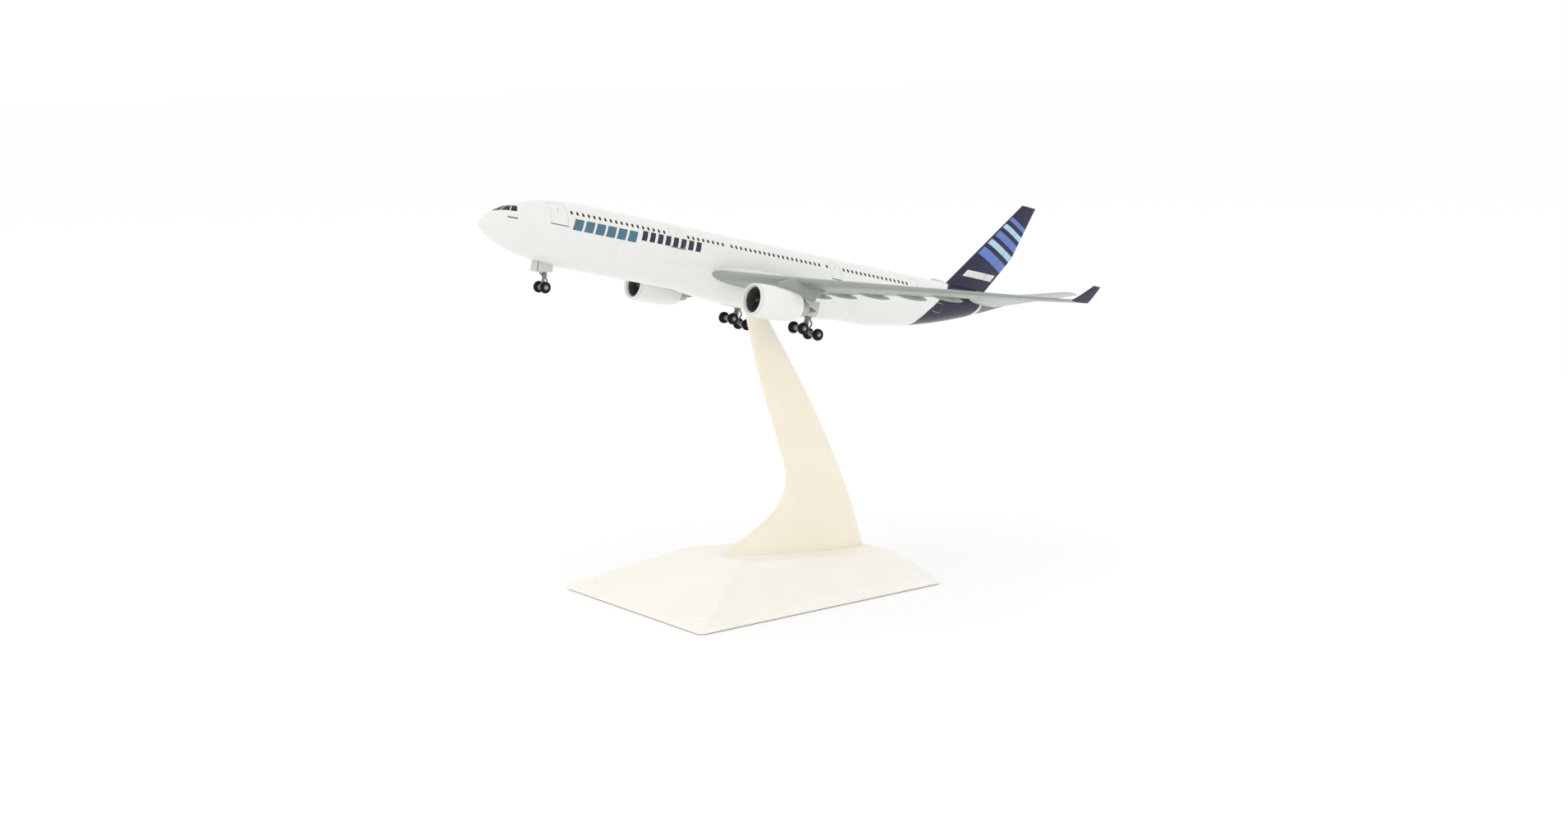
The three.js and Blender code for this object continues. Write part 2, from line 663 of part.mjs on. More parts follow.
function fan() {
  const hubRadius = 2;
  const bore = 0.9;
  const hub = turned(
    [
      [0, FAN_FRONT - 3.2],
      [0.8, FAN_FRONT - 2.8],
      [1.5, FAN_FRONT - 1.5],
      [hubRadius, FAN_FRONT],
      [hubRadius, FAN_BACK],
      [bore, FAN_BACK],
      [bore, FAN_FRONT + 0.2],
      [0, FAN_FRONT + 0.2],
    ],
    12,
  );
  const blades = [];
  for (let k = 0; k < FAN_BLADES; k += 1) {
    const length = FAN_RADIUS - hubRadius + 0.4;
    const blade = new THREE.BoxGeometry(0.4, 2.1, length);
    blade.rotateZ(rad(38));
    blade.translate(0, (FAN_FRONT + FAN_BACK) / 2, FAN_RADIUS - length / 2);
    blade.rotateY((2 * Math.PI * k) / FAN_BLADES);
    blades.push(solid(blade));
  }
  return joined([hub, ...blades]);
}

function core() {
  const shaft = 0.6;
  const nozzleFloor = CORE_END - NOZZLE_DEPTH;
  const body = turned(
    [
      [0, FAN_FRONT + 0.2 + GAP],
      [shaft, FAN_FRONT + 0.2 + GAP],
      [shaft, FAN_BACK + GAP],
      [2.6, FAN_BACK + GAP],
      [0.88 * CORE_RADIUS, 0.49 * COWL_LENGTH],
      [CORE_RADIUS, 0.676 * COWL_LENGTH],
      [CORE_RADIUS, COWL_LENGTH - 2],
      [0.9 * CORE_RADIUS, COWL_LENGTH + 1.6],
      [0.72 * CORE_RADIUS, CORE_END],
      [0.72 * CORE_RADIUS - 0.4, CORE_END],
      [0.58 * CORE_RADIUS, nozzleFloor],
      [1, nozzleFloor],
      [1, nozzleFloor - PLUG_HOLE_DEPTH],
      [0, nozzleFloor - PLUG_HOLE_DEPTH],
    ],
    16,
  );
  const slotHalf = STRUT_THICKNESS / 2 + GAP;
  const slot = block([-slotHalf, CORE_SLOT, CORE_SLOT_FLOOR], [slotHalf, COWL_LENGTH + GAP, 2 * CORE_RADIUS]);
  return body.subtract(slot);
}

function exhaustPlug() {
  const seat = CORE_END - NOZZLE_DEPTH + GAP;
  return turned(
    [
      [0, seat - PLUG_HOLE_DEPTH],
      [0.7, seat - PLUG_HOLE_DEPTH],
      [0.7, seat],
      [1.9, seat],
      [1.9, CORE_END - 1],
      [1.2, CORE_END + 2.4],
      [0.3, PLUG_END],
      [0, PLUG_END],
    ],
    12,
  );
}

/** Strut from the core, out through the cowl's slot, to the wing; outline in engine [y, z]. */
function engineStrut(side, wingGrown) {
  const wingNose = wingLeadingEdge(ENGINE_X) - ENGINE_STATION;
  const wingZ = wingHeight(ENGINE_X, wingLeadingEdge(ENGINE_X)) - ENGINE_HEIGHT;
  const floor = CORE_SLOT_FLOOR + GAP;
  const outline = [
    [CORE_SLOT + GAP, floor],
    [COWL_LENGTH, floor],
    [COWL_LENGTH, CORE_RADIUS + GAP],
    [CORE_END, 0.9 * CORE_RADIUS],
    [wingNose + 11, CORE_RADIUS + GAP],
    [wingNose + 17, wingZ - 3.2],
    [wingNose + 17, wingZ],
    [wingNose + 1, wingZ + 1.4],
    [wingNose - 4, wingZ - 0.4],
    [wingNose - 9, wingZ - 2.3],
    [COWL_SLOT + GAP, COWL_RADIUS + 0.4],
    [COWL_SLOT + GAP, COWL_RADIUS - 0.5],
    [CORE_SLOT + GAP, COWL_RADIUS - 1],
  ];
  const blade = plate(outline, STRUT_THICKNESS);
  const toEngine = [-side * ENGINE_X, -ENGINE_STATION, -ENGINE_HEIGHT];
  return blade.subtract(wingGrown.translate(toEngine)).add(strutTab(side).translate(toEngine));
}

// ---------------------------------------------------------------- landing gear

/** Wheel about X with a bore for its axle, its hub dished on the outer face. */
function wheel(radius, width) {
  const bore = AXLE_RADIUS + GAP;
  const half = width / 2;
  const rim = 0.58 * radius;
  const profile = [
    [bore, -half + 0.2],
    [rim, -half + 0.2],
    [0.9 * radius, -half],
    [radius, -0.4 * half],
    [radius, 0.4 * half],
    [0.9 * radius, half],
    [rim, half - 0.3],
    [bore, half - 0.1],
    [bore, -half + 0.2],
  ];
  const geometry = new THREE.LatheGeometry(profile.map(([r, y]) => new THREE.Vector2(r, y)), 14);
  geometry.rotateZ(-Math.PI / 2);
  return solid(geometry);
}

function axle(length) {
  return bar('x', AXLE_RADIUS, -length / 2, length / 2, [0, 0, 0], 8);
}

/** Nose leg with its drag plate in front; the axle eye is at the bottom. */
function noseLeg(fuselageGrown) {
  const eye = 1.5;
  const belly = bellyHeight(NOSE_GEAR_STATION);
  const leg = bar('z', 1, NOSE_AXLE_HEIGHT + 0.4, belly + 1, [0, NOSE_GEAR_STATION, 0]);
  const hub = bar('x', eye, -0.9, 0.9, [0, NOSE_GEAR_STATION, NOSE_AXLE_HEIGHT]);
  const back = NOSE_DOOR.front - GAP;
  const front = back - NOSE_DRAG_PLATE.thickness;
  const wide = NOSE_DRAG_PLATE.halfWidth;
  const drag = block([-wide, front, belly - NOSE_DOOR.drop], [wide, back, belly + 2]);
  const link = block([-0.5, back - 0.2, belly - 3.5], [0.5, NOSE_GEAR_STATION, belly - 2.3]);
  const hole = bar('x', AXLE_RADIUS + GAP, -3, 3, [0, NOSE_GEAR_STATION, NOSE_AXLE_HEIGHT], 8);
  const body = joined([leg, hub, drag, link]).subtract(fuselageGrown);
  return body.add(noseLegTenon()).subtract(hole);
}

/** Nose gear door: its lower edge rises towards the rear. */
function noseDoor(side, fuselageGrown) {
  const { x, front, length, thickness, drop, rearRise } = NOSE_DOOR;
  const rear = front + length;
  const belly = bellyHeight(NOSE_GEAR_STATION);
  const outline = [
    [front, belly - drop],
    [rear, belly - drop + rearRise],
    [rear, belly + 2],
    [front, belly + 2],
  ];
  return plate(outline, thickness, side * x).subtract(fuselageGrown).add(noseDoorTab(side));
}

const LEG_RADIUS = 1.35; // main leg's strut

/** Middle of a main axle: along is -1 for the front axle and 1 for the rear one. */
function axlePlace(side, along) {
  const reach = (along * BOGIE_WHEELBASE) / 2;
  const tilt = rad(BOGIE_TILT);
  const station = MAIN_GEAR_STATION + reach * Math.cos(tilt);
  return [side * MAIN_GEAR_X, station, BOGIE_HEIGHT - reach * Math.sin(tilt)];
}

/** Main leg: a pin into the wing's boss, the strut, a side brace and the bogie beam. */
function mainLeg(side) {
  const [x, station, height] = gearBossPlace(side);
  const bossLow = height - GEAR_BOSS.drop;
  const low = BOGIE_HEIGHT;
  const pin = bar('z', GEAR_BOSS.pin, bossLow - 1, bossLow + GEAR_BOSS.depth - GAP, [x, station, 0], 10);
  const strut = bar('z', LEG_RADIUS, low + 5, bossLow - GAP, [x, station, 0]);
  const piston = bar('z', 0.95, low, low + 5.5, [x, station, 0], 10);
  const beam = blockAt([0, 0, 0], [1.6, BOGIE_WHEELBASE, 1.6]).rotate([-BOGIE_TILT, 0, 0]);
  const axles = [-1, 1].map((along) => axlePlace(side, along));
  const eyes = axles.map((place) => bar('x', 1.4, x - 0.9, x + 0.9, place));
  const holes = axles.map((place) => bar('x', AXLE_RADIUS + GAP, x - 3, x + 3, place, 8));
  return cutBy(joined([pin, strut, piston, beam.translate([x, station, low]), ...eyes]), holes);
}

/** Gear door: a plate clipped to the outside of the main strut. */
function mainDoor(side) {
  const [x, station, height] = gearBossPlace(side);
  const top = height - GEAR_BOSS.drop - 0.4;
  const offset = side * 2.6;
  const low = axlePlace(side, -1)[2] + MAIN_WHEEL_RADIUS + 2.9;
  const panel = block([x + offset - 0.4, station - 4.2, low], [x + offset + 0.4, station + 3.4, top]);
  const clipFrom = side * (LEG_RADIUS + GAP);
  const ends = [x + clipFrom, x + offset].sort((a, b) => a - b);
  const clip = block([ends[0], station - 0.8, top - 4], [ends[1], station + 0.8, top - 2.4]);
  return panel.add(clip);
}

// ---------------------------------------------------------------- stand

const DECK_SLOPE = (DECK_REAR.z - DECK_FRONT.z) / (DECK_REAR.y - DECK_FRONT.y);
const deckHeight = (y) => DECK_FRONT.z + (y - DECK_FRONT.y) * DECK_SLOPE;

/** Corner points of a rectangle with rounded corners, each at a height that may depend on Y. */
function roundedRing(left, right, front, rear, radius, heightAt) {
  const points = [];
  const centres = [
    [right - radius, rear - radius, 0],
    [left + radius, rear - radius, 90],
    [left + radius, front + radius, 180],
    [right - radius, front + radius, 270],
  ];
  for (const [x, y, start] of centres) {
    for (let turn = 0; turn <= 90; turn += 45) {
      const angle = rad(start + turn);
      const spot = [x + radius * Math.cos(angle), y + radius * Math.sin(angle)];
      points.push(new THREE.Vector3(spot[0], spot[1], heightAt(spot[1])));
    }
  }
  return points;
}

/** Wedge with an upright lip and a deck that falls to the rear; inset gives the hollow under it. */
function baseForm(inset, low) {
  const half = BASE_WIDTH / 2 - inset;
  const front = BASE_FRONT + inset;
  const rear = BASE_REAR - inset;
  const lipTop = RIM_HEIGHT + BASE_LIP - 0.5 * inset;
  const flat = (height) => () => height;
  const deckPoint = ({ y, halfWidth: wide, z }, shift) => {
    return [-1, 1].map((sign) => new THREE.Vector3(sign * (wide - 0.6 * inset), y + shift, z - inset));
  };
  const points = [
    ...roundedRing(-half, half, front, rear, BASE_CORNER, flat(low)),
    ...roundedRing(-half, half, front, rear, BASE_CORNER, flat(lipTop)),
    ...deckPoint(DECK_FRONT, 0.5 * inset),
    ...deckPoint(DECK_REAR, -inset),
  ];
  return solid(new ConvexGeometry(points));
}

/** Blade edges in [y, z]: a toe that sweeps up into a leaning front edge, and a bowed rear edge. */
function bladeEdges() {
  const slope = -tan(PITCH);
  const halfSeat = PLUG_SIZE[1] / 2 + 1.4;
  const seat = (shift) => new THREE.Vector2(SEAT_Y + shift, SEAT_HEIGHT + shift * slope);
  const onDeck = (y) => new THREE.Vector2(y, deckHeight(y));
  const partWayUp = (y, share) => new THREE.Vector2(y, share * SEAT_HEIGHT);
  const front = new THREE.SplineCurve([
    onDeck(DECK_FRONT.y + 2.1),
    partWayUp(-9, 0.203),
    partWayUp(6.5, 0.2845),
    partWayUp(11.3, 0.39),
    partWayUp(5, 0.561),
    partWayUp(-4, 0.779),
    seat(-halfSeat),
  ]);
  const rear = new THREE.QuadraticBezierCurve(onDeck(DECK_REAR.y - 1), partWayUp(45, 0.452), seat(halfSeat));
  return { front, rear };
}

/** A blade ring: a lens between a front and a rear edge point. */
function lensPoint(front, rear, halfThickness, angle) {
  const share = (1 - Math.cos(angle)) / 2;
  const sine = Math.sin(angle);
  const across = Math.sign(sine) * Math.abs(sine) ** 1.1 * halfThickness;
  return [across, lerp(front.x, rear.x, share), lerp(front.y, rear.y, share)];
}

const BLADE_SINK = 0.7; // how far the blade's foot sits in the deck
const FOOT_HALF_THICKNESS = 8.4; // of the blade, at the deck

function blade() {
  const { front, rear } = bladeEdges();
  const rings = 13;
  const form = skin(20, rings + 1, (k, angle) => {
    const share = Math.max(0, k - 1) / (rings - 1);
    const a = front.getPoint(share);
    const b = rear.getPoint(share);
    const half = lerp(FOOT_HALF_THICKNESS, PLUG_SIZE[0] / 2 + 1.2, share ** 0.55);
    const point = lensPoint(a, b, half, angle);
    if (k === 0) point[2] -= BLADE_SINK;
    return point;
  });
  const holes = Object.values(SCREW_PLACES).map((y) => {
    const low = deckHeight(y) - 3;
    return bar('z', SCREW_RADIUS + GAP, low, low + 11, [0, y, 0], 10);
  });
  return cutBy(form.add(plugOnStand()), holes);
}

/** The plug carried from the aircraft's axes to its place on the stand. */
function plugOnStand() {
  const [across, along, tall] = PLUG_SIZE;
  const geometry = new THREE.BoxGeometry(across, along, tall + 1);
  geometry.translate(0, 0, (tall - 1) / 2);
  geometry.rotateX(-rad(PITCH));
  geometry.translate(0, SEAT_Y, SEAT_HEIGHT);
  return solid(geometry);
}

function footPlaces() {
  const inset = FOOT_RADIUS + 5;
  const x = BASE_WIDTH / 2 - inset;
  return {
    front_left: [x, BASE_FRONT + inset],
    front_right: [-x, BASE_FRONT + inset],
    rear_left: [x, BASE_REAR - inset],
    rear_right: [-x, BASE_REAR - inset],
  };
}

const SCREW_HEAD_DROP = 4; // bearing face of a screw head below the deck

function standBase() {
  const outer = baseForm(0, RIM_HEIGHT);
  const inner = baseForm(BASE_WALL, RIM_HEIGHT - 2);
  const posts = Object.values(footPlaces()).map(([x, y]) => {
    return bar('z', FOOT_RADIUS, FOOT_THICKNESS + GAP, DECK_FRONT.z, [x, y, 0], 12);
  });
  const bosses = Object.values(SCREW_PLACES).map((y) => {
    return bar('z', 4.2, deckHeight(y) - 7, deckHeight(y), [0, y, 0]);
  });
  const filled = joined([outer.subtract(inner), ...posts.map((post) => post.intersect(outer))]);
  const body = joined([filled, ...bosses.map((boss) => boss.intersect(outer))]);
  const { front, rear } = bladeEdges();
  const toe = front.getPoint(0);
  const heel = rear.getPoint(0);
  toe.x -= GAP;
  heel.x += GAP;
  const recess = skin(20, 2, (k, angle) => {
    const point = lensPoint(toe, heel, FOOT_HALF_THICKNESS + GAP, angle);
    point[2] += k === 0 ? -BLADE_SINK - GAP : 2;
    return point;
  });
  const holes = Object.values(SCREW_PLACES).flatMap((y) => {
    const deck = deckHeight(y);
    return [
      bar('z', SCREW_RADIUS + GAP, deck - 9, deck + 2, [0, y, 0], 12),
      bar('z', 2.7, deck - 9, deck - SCREW_HEAD_DROP, [0, y, 0]),
    ];
  });
  return cutBy(body, [recess, ...holes]);
}

function screw(y) {
  const bearing = deckHeight(y) - SCREW_HEAD_DROP - GAP;
  const head = bar('z', 2.2, bearing - 1.6, bearing, [0, y, 0]);
  const shank = bar('z', SCREW_RADIUS, bearing - 0.5, bearing + 10.5, [0, y, 0], 10);
  const slot = block([-3, y - 0.35, bearing - 2], [3, y + 0.35, bearing - 0.9]);
  return head.add(shank).subtract(slot);
}

// ---------------------------------------------------------------- assembly

function standGroup() {
  const group = new THREE.Group();
  addPart(group, 'stand_base', standBase(), 'cream');
  addPart(group, 'stand_blade', blade(), 'cream');
  for (const [name, y] of Object.entries(SCREW_PLACES)) {
    addPart(group, `blade_screw_${name}`, screw(y), 'steel');
  }
  for (const [name, [x, y]] of Object.entries(footPlaces())) {
    const pad = bar('z', FOOT_RADIUS, 0, FOOT_THICKNESS, [0, 0, 0], 16);
    addPart(group, `foot_${name}`, pad, 'rubber').position.set(x, y, 0);
  }
  return group;
}

function addWheels(group, prefix, place, track, radius, width, ends) {
  const spindle = new THREE.Group();
  spindle.position.set(...place);
  addPart(spindle, `${prefix}_axle`, axle(track + width + 0.6), 'steel');
  for (const [name, sign] of ends) {
    const tyre = addPart(spindle, `${prefix}_wheel_${name}`, wheel(radius, width), 'tyre');
    tyre.position.x = (sign * track) / 2;
    if (sign < 0) tyre.rotation.z = Math.PI;
  }
  group.add(spindle);
}

function airframeGroup() {
  const group = new THREE.Group();
  const outer = fuselageForm(fuselageStations(0, TAIL_CONE_STATION, 7, 5), 0, 28);
  const inner = fuselageForm(fuselageStations(6, TAIL_CONE_STATION + 1, 3, 3), -WALL, 16);
  const grown = fuselageForm(fuselageStations(0, FUSELAGE_LENGTH, 7, 6), GAP, 28);
  const fairing = fairingForm();
  const fairingGrown = fairingForm(GAP);
  addPart(group, 'belly_fairing', bellyFairing(fairing, grown), 'white');
  addPart(group, 'tail_cone', tailCone(), 'darkGrey');
  addPart(group, 'fin', fin(grown), 'navy');
  addPart(group, 'nose_gear_leg', noseLeg(grown), 'strutGrey');
  addWheels(
    group,
    'nose',
    [0, NOSE_GEAR_STATION, NOSE_AXLE_HEIGHT],
    NOSE_TRACK,
    NOSE_WHEEL_RADIUS,
    NOSE_WHEEL_WIDTH,
    [['left', 1], ['right', -1]],
  );
  for (const { name, sign } of SIDES) {
    addPart(group, `fuselage_${name}`, fuselageHalf(sign, outer, inner), 'white');
    addPart(group, `wing_${name}`, wing(sign, grown, fairingGrown), 'wingGrey');
    addPart(group, `winglet_${name}`, winglet(sign), 'plum');
    addPart(group, `tailplane_${name}`, tailplane(sign, grown), 'white');
    addPart(group, `nose_gear_door_${name}`, noseDoor(sign, grown), 'white');
    addPart(group, `main_gear_leg_${name}`, mainLeg(sign), 'strutGrey');
    addPart(group, `main_gear_door_${name}`, mainDoor(sign), 'white');
    const engine = new THREE.Group();
    engine.position.set(sign * ENGINE_X, ENGINE_STATION, ENGINE_HEIGHT);
    addPart(engine, `engine_cowl_${name}`, cowl(), 'white');
    addPart(engine, `engine_core_${name}`, core(), 'metalGrey');
    addPart(engine, `exhaust_plug_${name}`, exhaustPlug(), 'darkGrey');
    addPart(engine, `engine_strut_${name}`, engineStrut(sign, wingForm(sign, GAP)), 'wingGrey');
    addPart(engine, `fan_${name}`, fan(), 'darkGrey');
    group.add(engine);
    for (const [end, along] of [['front', -1], ['rear', 1]]) {
      addWheels(
        group,
        `main_${name}_${end}`,
        axlePlace(sign, along),
        BOGIE_TRACK,
        MAIN_WHEEL_RADIUS,
        MAIN_WHEEL_WIDTH,
        [['outer', sign], ['inner', -sign]],
      );
    }
  }
  return group;
}

/** Hangs the airframe on the seat: its belly point at SEAT_STATION meets the blade's top. */
function placeOnSeat(airframe) {
  airframe.rotation.x = -rad(PITCH);
  const seat = new THREE.Vector3(0, SEAT_STATION, PLUG_BOTTOM).applyEuler(airframe.rotation);
  airframe.position.set(0, SEAT_Y - seat.y, SEAT_HEIGHT - seat.z);
}

const model = new THREE.Group();
const airframe = airframeGroup();
placeOnSeat(airframe);
model.add(standGroup(), airframe);
const bounds = new THREE.Box3().setFromObject(model, true);
model.position.y = -(bounds.min.y + bounds.max.y) / 2;

export default model;
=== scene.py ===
"""Looks of the desktop airliner model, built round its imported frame.

Aircraft points are (x, station, height) in millimetres: x to the aircraft's left, station aft of the nose tip,
height above the fuselage centreline. Stand points are millimetres above the desk.
"""
import json
import math

import bmesh
import bpy
import numpy as np
from mathutils import Matrix, Vector


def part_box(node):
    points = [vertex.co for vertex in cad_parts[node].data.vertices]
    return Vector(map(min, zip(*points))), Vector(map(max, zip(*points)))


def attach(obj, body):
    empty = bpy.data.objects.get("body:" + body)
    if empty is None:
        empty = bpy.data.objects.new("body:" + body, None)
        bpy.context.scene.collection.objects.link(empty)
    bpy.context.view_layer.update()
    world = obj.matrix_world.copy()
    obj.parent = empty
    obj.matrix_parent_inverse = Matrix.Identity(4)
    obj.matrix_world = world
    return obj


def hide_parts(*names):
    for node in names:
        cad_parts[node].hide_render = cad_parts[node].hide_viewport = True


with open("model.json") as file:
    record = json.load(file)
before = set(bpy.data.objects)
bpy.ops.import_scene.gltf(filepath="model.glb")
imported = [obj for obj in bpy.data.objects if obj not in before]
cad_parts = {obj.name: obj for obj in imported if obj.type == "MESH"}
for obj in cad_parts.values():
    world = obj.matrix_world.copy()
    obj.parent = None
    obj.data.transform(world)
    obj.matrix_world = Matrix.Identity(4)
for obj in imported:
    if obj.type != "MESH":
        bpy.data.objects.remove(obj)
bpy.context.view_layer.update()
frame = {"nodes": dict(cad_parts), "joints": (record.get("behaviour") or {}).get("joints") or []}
JOINTS = {joint["name"]: joint for joint in frame["joints"]}
MM = 0.001
SIDES = (("left", 1), ("right", -1))

# ---------------------------------------------------------------- places in the frame

ACROSS = np.array((1.0, 0.0, 0.0))
UP = np.array(JOINTS["aircraft_lift"]["axis"], float)
UP /= np.linalg.norm(UP)
AFT = np.array((0.0, UP[2], -UP[1]))

ENGINE = (46.0, 110.5, -13.5)  # centre of the left inlet, in aircraft millimetres
NOSE = np.array(JOINTS["left_fan_spin"]["pos_m"], float)
NOSE -= MM * (ENGINE[0] * ACROSS + ENGINE[1] * AFT + ENGINE[2] * UP)
STAND_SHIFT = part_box("stand_base")[0].y / MM + 78.0


def in_aircraft(points):
    p = np.asarray(points, float).reshape(-1, 3) * MM
    return NOSE + p[:, :1] * ACROSS + p[:, 1:2] * AFT + p[:, 2:3] * UP


def in_stand(points):
    p = np.asarray(points, float).reshape(-1, 3) + (0.0, STAND_SHIFT, 0.0)
    return p * MM


# ---------------------------------------------------------------- materials


def srgb(r, g, b):
    return tuple(((c / 255 + 0.055) / 1.055) ** 2.4 if c > 10 else c / 255 / 12.92 for c in (r, g, b)) + (1.0,)


def shade(colour, factor):
    return tuple(min(1.0, c * factor) for c in colour[:3]) + (1.0,)


def plastic(name, colour, rough=0.35, coat=0.0, metal=0.0, grain=2200.0, relief=0.1, blotch=110.0,
            drift=0.06, wear=0.0, specular=0.5, soft=0.0):
    """Moulded or painted plastic: faint drift in tone and gloss, fine grain, edges rubbed lighter."""
    made = bpy.data.materials.new(name)
    made.use_nodes = True
    nodes, links = made.node_tree.nodes, made.node_tree.links
    shader = nodes["Principled BSDF"]
    shader.inputs["Metallic"].default_value = metal
    shader.inputs["Specular IOR Level"].default_value = specular
    shader.inputs["Coat Weight"].default_value = coat
    shader.inputs["Coat Roughness"].default_value = 0.12
    if soft:
        shader.inputs["Subsurface Weight"].default_value = soft
        shader.inputs["Subsurface Radius"].default_value = (1.0, 0.75, 0.5)
        shader.inputs["Subsurface Scale"].default_value = 0.0015
    place = nodes.new("ShaderNodeTexCoord").outputs["Object"]

    def noise(scale, detail, roughness=0.5):
        node = nodes.new("ShaderNodeTexNoise")
        node.inputs["Scale"].default_value = scale
        node.inputs["Detail"].default_value = detail
        node.inputs["Roughness"].default_value = roughness
        links.new(place, node.inputs["Vector"])
        return node.outputs["Fac"]

    def ramp(source, *stops):
        node = nodes.new("ShaderNodeValToRGB")
        for element, (position, tint) in zip(node.color_ramp.elements, stops):
            element.position = position
            element.color = tint
        links.new(source, node.inputs["Fac"])
        return node.outputs["Color"]

    base = ramp(noise(blotch, 4.0), (0.3, shade(colour, 1 - drift)), (0.7, shade(colour, 1 + 0.4 * drift)))
    if wear:
        shape = nodes.new("ShaderNodeNewGeometry")
        rub = nodes.new("ShaderNodeMix")
        rub.data_type = "RGBA"
        rub.inputs[7].default_value = shade(colour, 1.35)
        edge = ramp(shape.outputs["Pointiness"], (0.52, (0, 0, 0, 1)), (0.6, (wear, wear, wear, 1)))
        links.new(edge, rub.inputs[0])
        links.new(base, rub.inputs[6])
        base = rub.outputs[2]
    links.new(base, shader.inputs["Base Color"])
    gloss = nodes.new("ShaderNodeMapRange")
    gloss.inputs["To Min"].default_value = max(0.03, rough - 0.06)
    gloss.inputs["To Max"].default_value = rough + 0.08
    links.new(noise(blotch * 0.45, 6.0, 0.65), gloss.inputs["Value"])
    links.new(gloss.outputs["Result"], shader.inputs["Roughness"])
    bump = nodes.new("ShaderNodeBump")
    bump.inputs["Strength"].default_value = relief
    bump.inputs["Distance"].default_value = 0.00003
    links.new(noise(grain, 3.0), bump.inputs["Height"])
    links.new(bump.outputs["Normal"], shader.inputs["Normal"])
    return made


WHITE = plastic("white_lacquer", srgb(233, 234, 229), rough=0.28, coat=0.35, drift=0.02)
COWL_WHITE = plastic("cowl_lacquer", srgb(237, 237, 234), rough=0.25, coat=0.4, drift=0.02)
WING_GREY = plastic("wing_grey_paint", srgb(150, 158, 151), rough=0.38, coat=0.12, relief=0.14, drift=0.04)
# Painted shade: the flap fairings are the wing's own grey plastic, made a little darker to stand for the shade
# under the wing.
SHADED_CANOE_GREY = plastic("flap_fairing_grey_painted_shade", srgb(143, 152, 146), rough=0.4, coat=0.1, relief=0.14, drift=0.05)
NAVY = plastic("navy_lacquer", srgb(24, 21, 50), rough=0.3, coat=0.1, drift=0.07, specular=0.35)
FIN_NAVY = plastic("fin_navy_lacquer", srgb(32, 31, 66), rough=0.3, coat=0.1, drift=0.07, specular=0.35)
PLUM = plastic("winglet_plum_paint", srgb(58, 50, 70), rough=0.36, relief=0.12, specular=0.35)
MID_BLUE = plastic("mid_blue_print", srgb(92, 120, 196), rough=0.32, coat=0.3, drift=0.05)
LIGHT_BLUE = plastic("light_blue_print", srgb(178, 212, 238), rough=0.32, coat=0.3, drift=0.04)
TEAL = plastic("teal_print", srgb(62, 108, 130), rough=0.34, coat=0.2)
INK = plastic("navy_print", srgb(36, 34, 62), rough=0.34, coat=0.1, specular=0.35)
WINDOW = plastic("window_print", srgb(16, 16, 20), rough=0.3, coat=0.05, relief=0.06, drift=0.08, specular=0.25)
LINE = plastic("grey_line_print", srgb(196, 199, 200), rough=0.4, relief=0.08, drift=0.05)
DARK_LINE = plastic("dark_line_print", srgb(112, 116, 118), rough=0.4, relief=0.08)
TAIL_GREY = plastic("tailplane_grey_paint", srgb(192, 197, 193), rough=0.4)
WING_LINE = plastic("wing_line_print", srgb(122, 130, 127), rough=0.45, relief=0.08)
CORE_METAL = plastic("core_metal_paint", srgb(184, 181, 172), rough=0.36, metal=0.45, relief=0.16)
DARK_METAL = plastic("dark_metal_paint", srgb(122, 121, 119), rough=0.4, metal=0.35, relief=0.2, drift=0.08,
                    wear=0.3)
LIP_WHITE = plastic("inlet_lip_lacquer", srgb(222, 222, 220), rough=0.24, coat=0.4, relief=0.08, drift=0.02)
FAN_DARK = plastic("fan_dark_paint", srgb(64, 61, 57), rough=0.34, metal=0.3, relief=0.15, drift=0.1, wear=0.35)
DUCT_DARK = plastic("inlet_duct_paint", srgb(84, 80, 74), rough=0.5, relief=0.12, drift=0.08)
GEAR_GREY = plastic("gear_grey_plastic", srgb(128, 130, 128), rough=0.42, metal=0.15, relief=0.25,
                    drift=0.08, wear=0.4)
DOOR_WHITE = plastic("gear_door_plastic", srgb(206, 207, 203), rough=0.38, relief=0.18, drift=0.04)
TYRE = plastic("tyre_rubber", srgb(24, 23, 23), rough=0.72, relief=0.5, drift=0.15, wear=0.25, specular=0.2)
HUB = plastic("hub_paint", srgb(150, 146, 142), rough=0.35, metal=0.25, relief=0.15, wear=0.3)
STEEL = plastic("bright_steel", srgb(186, 187, 189), rough=0.24, metal=1.0, grain=5200, relief=0.12, drift=0.05)
CREAM = plastic("cream_plastic", srgb(248, 240, 221), rough=0.34, coat=0.15, grain=1500, relief=0.30, blotch=60,
                drift=0.025, wear=0.25, soft=0.12)
CREAM_BASE = plastic("cream_base_plastic", srgb(250, 245, 236), rough=0.38, coat=0.1, grain=1300, relief=0.38,
                     blotch=45, drift=0.025, wear=0.25, soft=0.12)
PAD = plastic("foot_rubber", srgb(44, 44, 45), rough=0.8, relief=0.6, drift=0.12, specular=0.25)

# ---------------------------------------------------------------- mesh helpers


def loft(rings, closed=True, caps=True):
    """Quads through rings of equal length; a ring closes on itself, and flat caps close the ends."""
    rings = np.asarray(rings, float)
    count, around = rings.shape[:2]
    points = rings.reshape(-1, 3)
    faces = []
    last = around if closed else around - 1
    for k in range(count - 1):
        for i in range(last):
            a, b = k * around + i, k * around + (i + 1) % around
            faces.append((a, b, b + around, a + around))
    if caps and closed:
        faces.append(tuple(range(around))[::-1])
        faces.append(tuple(range((count - 1) * around, count * around)))
    return points, faces


def grid(corners, across, up):
    """Rows of points between four corners, given in order round the rim."""
    a, b, c, d = (np.array(q, float) for q in corners)
    columns = np.linspace(0, 1, across + 1)
    return [[(a * (1 - u) + b * u) * (1 - v) + (d * (1 - u) + c * u) * v for u in columns]
            for v in np.linspace(0, 1, up + 1)]


